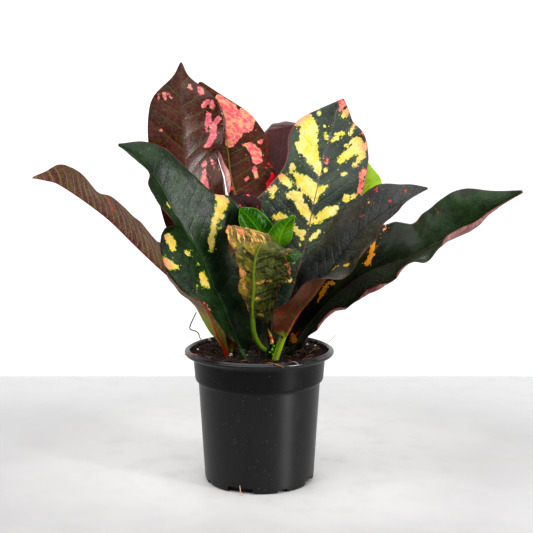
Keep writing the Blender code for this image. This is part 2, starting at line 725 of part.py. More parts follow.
def make_soil(where, helpers):
    """Soil from just above the floor to below the lip, with holes for the stems."""
    top = [(radius, SOIL_TOP) for radius in (0.0, *SOIL_RINGS)]
    soil = revolve("soil", top + SOIL_SIDE, where)
    bpy.context.view_layer.update()
    graph = bpy.context.evaluated_depsgraph_get()
    mesh = bpy.data.meshes.new_from_object(soil.evaluated_get(graph))
    soil.modifiers.clear()
    soil.data = mesh
    for vertex in mesh.vertices:
        if abs(vertex.co.z - SOIL_TOP * MM) < 0.1 * MM:
            vertex.co.z += soil_height(vertex.co.x / MM, vertex.co.y / MM) * MM
    paint(soil, "soil")
    roots = [(name, axis[0][:2], axis[0][3]) for name, axis in STEMS.items()]
    for name, leaf in LEAVES.items():
        if leaf["on"] == "soil":
            roots.append((name, leaf["stalk"][0][:2], leaf["stalk_r"] * STALK_FLARE))
    bottom = SOIL_TOP - HOLE_DEPTH
    for name, (x, y), radius in roots:
        axis = [(x, y, bottom, radius), (x, y, SOIL_TOP + HOLE_RISE, radius)]
        points, faces = tube_mesh(axis, GAP, HOLE_SIDES)
        hole = add_object(f"hole_{name}", points, faces, helpers)
        cut(soil, hole, f"hole {name}")
    return soil


def make_stems(where, helpers):
    spaces = {}
    for name, axis in STEMS.items():
        points, faces = tube_mesh(axis)
        stem = add_object(name, points, faces, where)
        paint(stem, "stem")
        points, faces = tube_mesh(axis, GAP)
        spaces[name] = add_object(f"space_{name}", points, faces, helpers)
    return spaces


def make_leaves(where, spaces):
    for name, leaf in LEAVES.items():
        points, faces = leaf_mesh(leaf)
        obj = add_object(name, points, faces, where)
        paint(obj, name)
        if leaf["on"] != "soil":
            cut(obj, spaces[leaf["on"]], "clear of stem")


def main():
    clear_scene()
    where = new_collection("potted_croton")
    helpers = new_collection("cutters", helper=True)
    make_pot(where, helpers)
    make_soil(where, helpers)
    spaces = make_stems(where, helpers)
    make_leaves(where, spaces)


main()
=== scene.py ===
import math
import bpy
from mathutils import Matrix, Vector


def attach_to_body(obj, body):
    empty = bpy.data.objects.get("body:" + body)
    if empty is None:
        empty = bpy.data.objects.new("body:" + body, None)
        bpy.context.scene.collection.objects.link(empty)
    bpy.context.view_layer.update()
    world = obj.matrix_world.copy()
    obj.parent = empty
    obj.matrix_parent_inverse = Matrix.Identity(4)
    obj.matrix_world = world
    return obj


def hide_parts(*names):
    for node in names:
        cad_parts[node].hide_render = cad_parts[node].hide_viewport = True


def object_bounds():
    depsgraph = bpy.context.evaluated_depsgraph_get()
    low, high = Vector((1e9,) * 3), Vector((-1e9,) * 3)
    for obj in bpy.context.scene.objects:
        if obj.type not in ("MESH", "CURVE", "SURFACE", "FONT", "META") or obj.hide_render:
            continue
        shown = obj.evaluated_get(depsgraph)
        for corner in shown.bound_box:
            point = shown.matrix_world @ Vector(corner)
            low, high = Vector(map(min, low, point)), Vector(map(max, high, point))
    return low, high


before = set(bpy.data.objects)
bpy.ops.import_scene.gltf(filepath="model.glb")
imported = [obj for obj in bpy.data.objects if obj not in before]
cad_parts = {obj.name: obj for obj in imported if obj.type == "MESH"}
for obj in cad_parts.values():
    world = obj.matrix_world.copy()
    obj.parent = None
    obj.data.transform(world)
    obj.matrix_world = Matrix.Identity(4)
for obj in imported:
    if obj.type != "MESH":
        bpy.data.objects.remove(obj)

from types import SimpleNamespace

import bmesh
import bpy
import numpy as np

MM = 0.001
CAD_LOW, CAD_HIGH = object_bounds()

# The camera stands about a metre in front of the plant, a little above its leaves.
CAMERA_PLACE = (0.0058, -0.95, 0.3178)
CAMERA_DOWN = 8.62  # degrees below the horizon
CAMERA_FOCUS = 1209.0  # focal length in pixels of the photo
PHOTO_WIDTH = 533
SENSOR = 36.0
CLIP_NEAR, CLIP_FAR = 0.05, 20

TABLE_BACK = 0.344  # where the table ends behind the plant, in metres
TABLE_SIDE = 3.0
TABLE_THICK = 0.03

SOIL_TOP, SOIL_BUMP, SOIL_BANK = 98.6, 0.9, 6.6  # level, unevenness and climb to the wall
BANK_FROM, BANK_WIDE = 31, 18  # radius where the bank starts, and how wide it is
SOIL_RIM, SOIL_LIMIT = 105.6, 105.0  # top of the soil at its rim, and of where loose pieces lie
SOIL_STEPS, SOIL_RINGS, SOIL_RADIUS = 220, 60, 54.0

BLADE = 0.55  # thickness of a leaf in mm
ROWS, COLUMNS = 150, 24  # rows along a leaf, and columns on each side of its midrib
SMALL_ROWS, SMALL_COLUMNS = 60, 16
CROWD = 1.2  # columns are closer together near the midrib
STALK_STEPS, STALK_FOOT = 8, 1.12  # rings to each span of a stalk, and how much thicker its foot is
JOINED = 0.08  # share of the blade over which the round stalk turns flat
SIDES = (("left", -1), ("right", 1))
VEIN_SLANT, VEIN_BEND = 0.62, 0.005  # how far side veins run forward, and how much more further out
FAR_OFF = 50.0  # mm given where there is no margin or patch near
CURL_RADIUS = 1.3
PATCH_COLOURS = ("yellow", "pink", "red")
# Mottles that a look may ask for: key, size in mm, and the part of the noise that shows.
MOTTLES = (("mottle", 3.4, 0.47, 0.53), ("fine_mottle", 1.7, 0.49, 0.52))

# Outer side of the pot from the lip down, then its underside: radius and height.
POT_OUTER = [
    (55.6, 107.1), (56.3, 108.0), (57.3, 108.0), (58.0, 106.5), (59.2, 106.9), (60.0, 105.8),
    (59.8, 104.4), (58.6, 103.3), (54.4, 102.9), (53.0, 101.4), (51.6, 84.6), (51.0, 82.9),
    (49.2, 81.6), (48.8, 80.4), (44.3, 5.0), (43.8, 1.8), (42.6, 0.0), (0.0, 0.0),
]
# Inner side of the pot from the floor up to the lip.
POT_INNER = [
    (0.0, 1.6), (41.2, 1.6), (42.9, 5.2), (47.4, 80.2), (48.0, 82.7), (50.2, 85.2), (51.5, 99.5),
    (52.6, 102.4), (55.0, 105.8),
]
# The soil's side from its rim down, just inside the pot.
SOIL_SIDE = [
    (54.1, 104.9), (52.0, 102.3), (51.1, 99.5), (49.8, 85.4), (47.6, 82.8), (47.0, 80.2),
    (42.5, 5.3), (40.8, 1.9),
]
POT_STEPS = 192
POT_SHARP = 38  # degrees from which an edge of the pot stays sharp
OUTER_REACH, INNER_REACH = 0.45, 0.9  # how far the corners of the profiles are cut, in mm
CORNER_SHARE = 0.25  # and how much of a side at most
# Where the collar and the lip start on the pot and where its inner side starts, in metres.
COLLAR_FOOT, LIP_FOOT = (0.0815, 0.0835), (0.1005, 0.1025)
INNER_RADIUS, INNER_FOOT = (0.0548, 0.0556), (0.0990, 0.1000)

# Drain notches at the foot, in degrees from the front, and their width and height in turn.
NOTCH_FIRST, NOTCH_EVERY, NOTCH_COUNT = -20, 45, 8
NOTCH_SIZES = ((20.0, 5.0), (8.0, 3.0))
NOTCH_IN, NOTCH_OUT = 38.0, 48.0  # radii between which a drain notch is cut
NOTCH_LOW = -2.0  # the cut starts below the foot
NOTCH_FLARE = 1.2  # how much wider each side of a notch gets at the bottom
# Faces of a box whose four lower corners come first.
BOX_FACES = [(3, 2, 1, 0), (4, 5, 6, 7), (0, 1, 5, 4), (1, 2, 6, 5), (2, 3, 7, 6), (3, 0, 4, 7)]

# Stems: axis points and the radius at each, from below the soil up.
STEMS = dict(
    stem_left=[(-23, 22, 91, 4.0), (-23, 22, 99, 4.0), (-23.5, 22, 108, 4.4), (-24, 22, 117, 3.8),
               (-24, 22, 122, 2.4)],
    stem_centre=[(5, 2, 91, 4.2), (5, 2, 99, 4.2), (5.2, 2.4, 106, 4.7), (5.6, 3.4, 124, 3.7),
                 (6.6, 5.4, 150, 3.3), (7.4, 7, 170, 3.4), (8, 8, 184, 3.0), (8, 8, 190, 1.8)],
    stem_right=[(12, 19, 91, 3.6), (12, 19, 99, 3.6), (12, 20, 116, 3.4), (12.6, 23, 134, 3.5),
                (13, 25, 142, 3.0), (13, 25.5, 147, 1.8)],
)
STEM_STEPS, STEM_SIDES = 70, 32
SCAR_GAP, SCAR_HEIGHT = 13, 0.25  # leaf scars along a stem

# Each leaf in millimetres, from base to tip. The left and right margins are those
# of the upper face seen with the tip up. A cup is the turn of each half in degrees
# from the midrib out, towards the upper face when positive, at even steps along
# the leaf. A wave is its height at the margin, how many there are, and its start.
# A curl is a strip of the margin that turns up: its angle, and its width along the leaf.
LEAVES = dict(
    leaf_far_left=dict(
        stalk_r=2.4, stalk=[(-26.5, 12, 91), (-26.5, 12, 98)],
        mid=[(-27, 12, 103), (-32.5, 12, 117), (-38.5, 12, 133), (-47.5, 11, 147), (-61, 10, 158),
            (-76, 9, 169), (-97, 8, 189), (-117, 7, 209), (-137, 6, 225), (-158, 5, 239), (-168, 4, 242),
            (-179, 4, 244)],
        left=[(-24, 11, 103), (-26, 8, 115), (-28, 5, 126), (-31, 1, 138), (-34, -3, 151), (-39, -7, 162),
            (-45, -11, 172), (-51, -14, 180), (-60, -18, 187), (-71, -21, 193), (-81, -24, 198),
            (-91, -26, 213), (-101, -27, 222), (-113, -26, 231), (-123, -25, 235), (-133, -19, 246),
            (-146, -12, 253), (-157, -6, 255), (-169, -1, 249), (-178, 4, 245)],
        right=[(-30, 13, 102), (-40.5, 19, 118), (-51, 26, 132), (-61, 32, 143), (-72, 38, 156),
            (-85, 41, 171), (-104, 42, 191), (-123, 41, 212), (-142, 38, 229), (-161, 28, 244),
            (-171, 14, 246), (-179, 5, 243)],
        cup_left=[0, 10, 20, -20, -30, -25, 0], cup_right=[0, 20, 20, 10, 0, 0], wave_left=(1.0, 6.0, 0.1),
        wave_right=(2.0, 4.0, 0.4),
    ),
    leaf_front_left=dict(
        stalk_r=2.6, stalk=[(-12, 0, 91), (-12, 0, 97.5)],
        mid=[(-13, 0, 102), (-18, -2, 115), (-24, -5, 131), (-30, -9, 147), (-37, -13, 163),
            (-44, -17, 183), (-56, -20, 203), (-61, -21, 212), (-66, -22, 220), (-74, -23, 237),
            (-83, -23, 252), (-94, -21, 264), (-108, -18, 271)],
        left=[(-15, -1, 102), (-18.6, -4, 112), (-25, -9, 119), (-34.5, -17, 134), (-45, -27, 150),
            (-57, -35, 159), (-69, -40, 174), (-75, -43, 192), (-71, -47, 208), (-64, -50, 213),
            (-68, -50, 220), (-76, -50, 231), (-82, -48, 243), (-83, -44, 251), (-89, -38, 258),
            (-99, -29, 265), (-108, -18, 270)],
        right=[(-10, 1, 102), (-6, 0, 112), (-4, 1, 129), (-3, 3, 146), (-2, 5, 166), (-4, 5, 190),
            (-14, 3, 218), (-24, 1, 230), (-36, -2, 233), (-53, -7, 248), (-69, -12, 266), (-87, -16, 273),
            (-108, -18, 272)],
        cup_left=[20, -10, -25, -30, -20, 20, -10, 0, 0], cup_right=[20, 30, 40, 45, 30, 10, -20, -20, 0],
        wave_left=(1.2, 5.0, 0.2), wave_right=(1.5, 5.0, 0.6),
    ),
    leaf_tall_maroon=dict(
        stalk_r=1.9, stalk=[(-23.8, 22, 112), (-28, 20, 119), (-33.5, 18, 128)],
        mid=[(-39, 18, 140), (-46, 20, 168), (-51, 22, 196), (-56, 25, 222), (-59, 29, 248),
            (-61, 34, 268), (-63, 39, 290), (-64, 44, 308), (-64, 48, 322), (-64, 51, 335)],
        left=[(-41, 18, 140), (-59, 19, 173), (-74, 20, 200), (-81, 24, 223), (-87, 29, 249),
            (-90, 34, 273), (-90, 38, 293), (-86, 43, 307), (-71, 48, 323), (-65, 51, 334)],
        right=[(-37, 18, 140), (-30, 24, 174), (-27, 31, 206), (-28.5, 35.5, 236), (-34, 41, 259.5),
            (-30, 45, 271), (-28, 48, 288), (-37, 49, 307), (-57, 50, 323), (-63, 51, 334)],
        cup_left=[20, 0, -5, -10, -10, 0], cup_right=[20, 10, 18, 18, 10, 0], wave_left=(1.0, 4.0, 0.0),
        wave_right=(1.2, 5.0, 0.5),
    ),
    leaf_pink=dict(
        stalk_r=1.7, stalk=[(7.7, 7.5, 178), (1, 13, 193), (-8, 21.5, 207)],
        mid=[(-16, 30, 220), (-20.5, 38, 231), (-24, 47, 245), (-26, 56, 261), (-29, 64, 277),
            (-33, 72, 291), (-40, 79, 305), (-50, 85, 319)],
        left=[(-18, 30, 220), (-24.5, 37, 230), (-29, 45, 245), (-34.5, 54, 261), (-50, 68, 277),
            (-60, 77, 291), (-59, 83, 306), (-51, 85, 319)],
        right=[(-14, 30, 220), (2, 40, 227), (13, 48, 240), (9, 56, 256), (7, 63, 271), (-2, 70, 286),
            (-19, 77, 300), (-49, 85, 319)],
        cup_left=[10, -15, -20, -10], cup_right=[10, -20, -25, -10], wave_left=(1.0, 4.0, 0.3),
        wave_right=(1.2, 4.0, 0.0),
        curl_left=dict(turn=150, at=(0, 0.08, 0.14, 0.28, 0.4, 0.5, 0.6),
            width=(0, 0, 6, 7, 6, 3, 0)),
    ),
    leaf_back_maroon=dict(
        stalk_r=1.6, stalk=[(13, 25, 141), (12, 30, 155), (10, 34, 178), (9, 36, 198)],
        mid=[(9, 38, 212), (13, 55, 230), (16, 71, 250), (19, 85, 267), (21, 97, 280), (22, 110, 285),
            (22, 125, 282), (23, 139, 275)],
        left=[(8, 38, 213), (-4, 52, 228), (-9, 68, 250), (-5, 81, 265), (4, 93, 277), (11, 107, 282),
            (17, 123, 281), (22, 139, 275)],
        right=[(11, 38, 212), (27, 52, 230), (38, 68, 252), (41, 81, 269), (38, 93, 280), (32, 107, 284),
            (27, 123, 282), (24, 139, 275)],
        cup_left=[20, 15, 10, 0], cup_right=[20, 15, 10, 0], wave_left=(1.0, 3.0, 0.0),
        wave_right=(1.0, 3.0, 0.5),
    ),
    leaf_yellow=dict(
        stalk_r=2.3, stalk=[(14, 9, 91), (14, 9, 99)],
        mid=[(14, 9, 105), (19, 13, 125), (25, 17, 145), (31, 21, 166), (38, 27, 189), (42, 33, 209),
            (46, 39, 227), (50, 45, 242), (54, 51, 257), (58, 57, 270), (62, 62, 284), (65, 66, 295),
            (70, 69, 305)],
        left=[(12, 9, 105), (-6, 11, 119), (-7, 13, 138), (-4, 16, 166), (-7, 21, 196), (-7, 27, 219),
            (4, 33, 231), (18, 39, 247), (23, 46, 259), (24, 53, 275), (32, 59, 287), (48, 64, 296),
            (69, 69, 305)],
        right=[(16, 9, 104), (26, 11, 120), (36, 14, 138), (51, 19, 160), (68, 26, 187), (79, 32, 211),
            (85, 38, 231), (89, 45, 249), (90, 52, 261), (87, 57, 275), (79, 62, 285), (75, 66, 294),
            (71, 69, 304)],
        cup_left=[0, 10, 20, 20, 10, 0, -20, -20, -10, 0], cup_right=[0, 10, 20, 20, 10, 10, -10, -10, 0],
        wave_left=(1.3, 5.0, 0.0), wave_right=(1.5, 5.0, 0.4),
    ),
    leaf_front_right=dict(
        stalk_r=2.6, stalk=[(13, -4, 91), (13, -4, 99), (16, -4, 109)],
        mid=[(19, -4, 117), (23, -5, 127), (29, -7, 138), (39, -10, 150), (49, -13, 164), (61, -16, 181),
            (71, -18, 195), (81, -20, 207), (94, -22, 218), (111, -25, 229), (129, -28, 238)],
        left=[(18, -3, 118), (22, 2, 131), (24, 6, 143), (28, 10, 156), (33, 12, 169), (42, 13, 185),
            (54, 12, 202), (67, 9, 218), (80, 3, 230), (95, -6, 239), (112, -15, 241), (129, -27, 239)],
        right=[(17, -7, 116), (11, -16, 123), (10, -24, 131), (12, -30, 142), (22, -36, 152),
            (33, -40, 165), (47, -44, 169), (62, -46, 172), (75, -47, 183), (84, -46, 197), (91, -44, 210),
            (104, -38, 219), (116, -33, 232), (129, -29, 238)],
        cup_left=[10, 0, -20, -25, -20, 0], cup_right=[0, 20, 30, 20, 20, 10, 0, 0],
        wave_left=(1.0, 5.0, 0.3), wave_right=(1.8, 5.0, 0.0),
    ),
    leaf_far_right=dict(
        stalk_r=2.4, stalk=[(25.2, 14, 91), (25.2, 14, 99)],
        mid=[(27, 14, 103), (33, 15, 113), (42, 17, 125), (53, 19, 138), (67, 20, 151), (83, 20, 163),
            (102, 19, 172), (123, 17, 179), (141, 15, 190), (164, 12, 201), (187, 9, 219), (209, 6, 233)],
        left=[(21, 17, 103), (19, 20, 109), (21, 24, 121), (26, 27, 134), (37, 31, 149), (50, 34, 165),
            (64, 38, 180), (80, 40, 193), (100, 42, 202), (112, 40, 205), (125, 37, 203), (135, 32, 214),
            (149, 26, 226), (164, 20, 234), (186, 13, 233), (208, 6, 234)],
        right=[(31, 11, 102), (34, 7, 105.5), (36, 2, 111), (40, -2, 118), (46, -6, 125), (53, -8, 132),
            (61, -10, 139), (69, -12, 143), (79, -13, 149), (88, -14, 154), (98, -16, 161),
            (108, -16, 168), (118, -17, 178), (129, -17, 180), (139, -15, 190), (155, -12, 200),
            (170, -9, 207), (180, -5, 216), (196, 1, 225), (209, 6, 232)],
        cup_left=[10, 20, 10, -15, -25, -20, 0], cup_right=[10, 20, 30, 35, 40, 40, 30, 10, 20, 40, 20, 0],
        wave_left=(1.0, 5.0, 0.0), wave_right=(1.0, 6.0, 0.5),
        curl_right=dict(turn=115, at=(0.19, 0.23, 0.34, 0.39, 0.41, 0.46, 0.52, 0.55, 0.575, 0.59, 0.61,
                0.63, 0.74, 0.77, 0.84, 0.89, 0.93, 0.98, 1),
            width=(0, 3.5, 3.5, 0.5, 0.5, 5, 4.5, 1, 1, 3.5, 1, 0, 0, 4.5, 5, 3, 1.5, 1, 0)),
    ),
    leaf_crumpled=dict(
        stalk_r=2.0, stalk=[(5.2, 2.5, 106), (3, -4, 108), (-1, -9, 114), (-4, -14, 123)],
        mid=[(-5, -18, 134), (-5, -23, 149), (-4, -27, 161), (-4, -30, 174), (-2.5, -32, 186),
            (1, -32, 194), (5, -28, 199), (7.5, -20, 202), (7, -10, 200.5)],
        left=[(-3, -18, 134), (8, -15, 132), (13, -19, 148), (18, -25, 163), (25, -32, 173),
            (20, -36, 185), (26.5, -34, 193), (18, -24, 193), (10, -12, 197)],
        right=[(-7, -18, 134), (-10, -22, 147), (-16, -25, 159), (-15, -29, 172), (-18, -33, 186),
            (-22, -36, 198), (-25, -34, 208), (-21, -26, 211), (-9, -14, 207)],
        cup_left=[0, -30, -30, -40, 0], cup_right=[0, -30, -30, -40, 0], wave_left=(1.6, 4.0, 0.0),
        wave_right=(1.6, 4.0, 0.5),
    ),
    leaf_lime_behind=dict(
        stalk_r=1.6, stalk=[(13, 25, 138), (16, 26.5, 144), (19, 27, 148)],
        mid=[(22, 27, 153), (34, 36, 170), (52, 46, 191), (66, 56, 211), (74, 64, 231), (79, 71, 247),
            (80, 76, 262)],
        left=[(20, 27, 153), (24, 40, 173), (35, 53, 195), (48, 65, 214), (58, 73, 232), (67, 78, 248),
            (79, 76, 262)],
        right=[(24, 27, 153), (42, 37, 164), (67, 47, 181), (90, 53, 212), (102, 61, 234), (94, 70, 249),
            (81, 76, 262)],
        cup_left=[20, 10, -15, 0], cup_right=[20, 10, -25, 0], wave_left=(1.0, 4.0, 0.0),
        wave_right=(1.0, 4.0, 0.5),
    ),
    leaf_small_maroon=dict(
        stalk_r=1.2, small=True, stalk=[(8, 8, 188), (5, 8, 196), (1, 10, 204)],
        mid=[(-2.5, 12, 210.5), (-9, 13, 218.5), (-14, 15, 224.5), (-17, 19, 228), (-19, 24, 228.5)],
        left=[(-4, 12, 210), (-17, 10, 213), (-25, 13, 221.5), (-26.5, 19, 227.5), (-20.5, 24, 228)],
        right=[(-1, 12, 211), (2, 14, 220.5), (-2.5, 18, 227.5), (-10, 22, 231), (-17.5, 24, 229)],
        cup_left=[0, -30, -30, 0], cup_right=[0, -30, -30, 0], wave_left=(0.5, 2.0, 0.0),
        wave_right=(0.5, 2.0, 0.5),
    ),
    leaf_small_low=dict(
        stalk_r=1.3, small=True, stalk=[(-23, 22, 101), (-23, 18.5, 100.5)],
        mid=[(-23, 15.5, 102), (-23.6, 15, 105.5), (-24.6, 15.5, 109.5), (-26, 16.5, 113)],
        left=[(-24.5, 16, 102), (-28, 17, 104.5), (-29.5, 18, 108.5), (-28.5, 17.5, 112),
            (-26.5, 16.5, 113)],
        right=[(-21.5, 15, 102), (-17.6, 13, 106), (-19, 13.5, 110.5), (-22.5, 15, 113),
            (-25.5, 16.3, 113.4)],
        cup_left=[0, 20, 0], cup_right=[0, 30, 20, 0], wave_left=(0.0, 1.0, 0.0),
        wave_right=(0.0, 1.0, 0.0),
    ),
    bud_leaf_left=dict(
        stalk_r=1.3, small=True, stalk=[(8, 8, 183), (7.5, 2, 186)],
        mid=[(7, -3, 192), (1.5, -5, 201), (-6.5, -6, 211.5), (-15, -7, 221)],
        left=[(5.5, -4, 191.5), (-8.5, -11, 196.5), (-15.5, -11, 208.5), (-15.5, -7, 220.5)],
        right=[(8.5, -2, 192.5), (11, 5, 205), (-0.5, 1, 219), (-14, -6, 222)],
        cup_left=[0, 60, 60, 0], cup_right=[0, 60, 60, 0], wave_left=(0.4, 2.0, 0.0),
        wave_right=(0.4, 2.0, 0.5),
    ),
    bud_leaf_right=dict(
        stalk_r=1.2, small=True, stalk=[(8, 8, 179), (13, 4, 182)],
        mid=[(15.5, 0, 188), (16.5, -3, 197), (20.5, -2, 206.5), (28, 0, 215)],
        left=[(14, -1, 188), (7, -9, 198.5), (13, -6, 209), (27, 0, 215)],
        right=[(17, 1, 188), (25.5, 1, 195), (27, 2, 206), (28.5, 0, 214)],
        cup_left=[0, 40, 30, 0], cup_right=[0, 40, 30, 0], wave_left=(0.3, 2.0, 0.0),
        wave_right=(0.3, 2.0, 0.5),
    ),
    bud_leaf_small=dict(
        stalk_r=1.1, small=True, stalk=[(7.4, 7, 170), (14, 2, 175)],
        mid=[(19.5, -1, 180), (25, -3, 184), (34, -4, 183.5)],
        left=[(19.5, 0.5, 181), (25.5, 2, 189), (34, -3.5, 184)],
        right=[(20, -2.5, 179), (27.5, -9, 178.5), (34.5, -4.5, 183)],
        cup_left=[0, 30, 0], cup_right=[0, 30, 0], wave_left=(0.0, 1.0, 0.0), wave_right=(0.0, 1.0, 0.0),
    ),
)

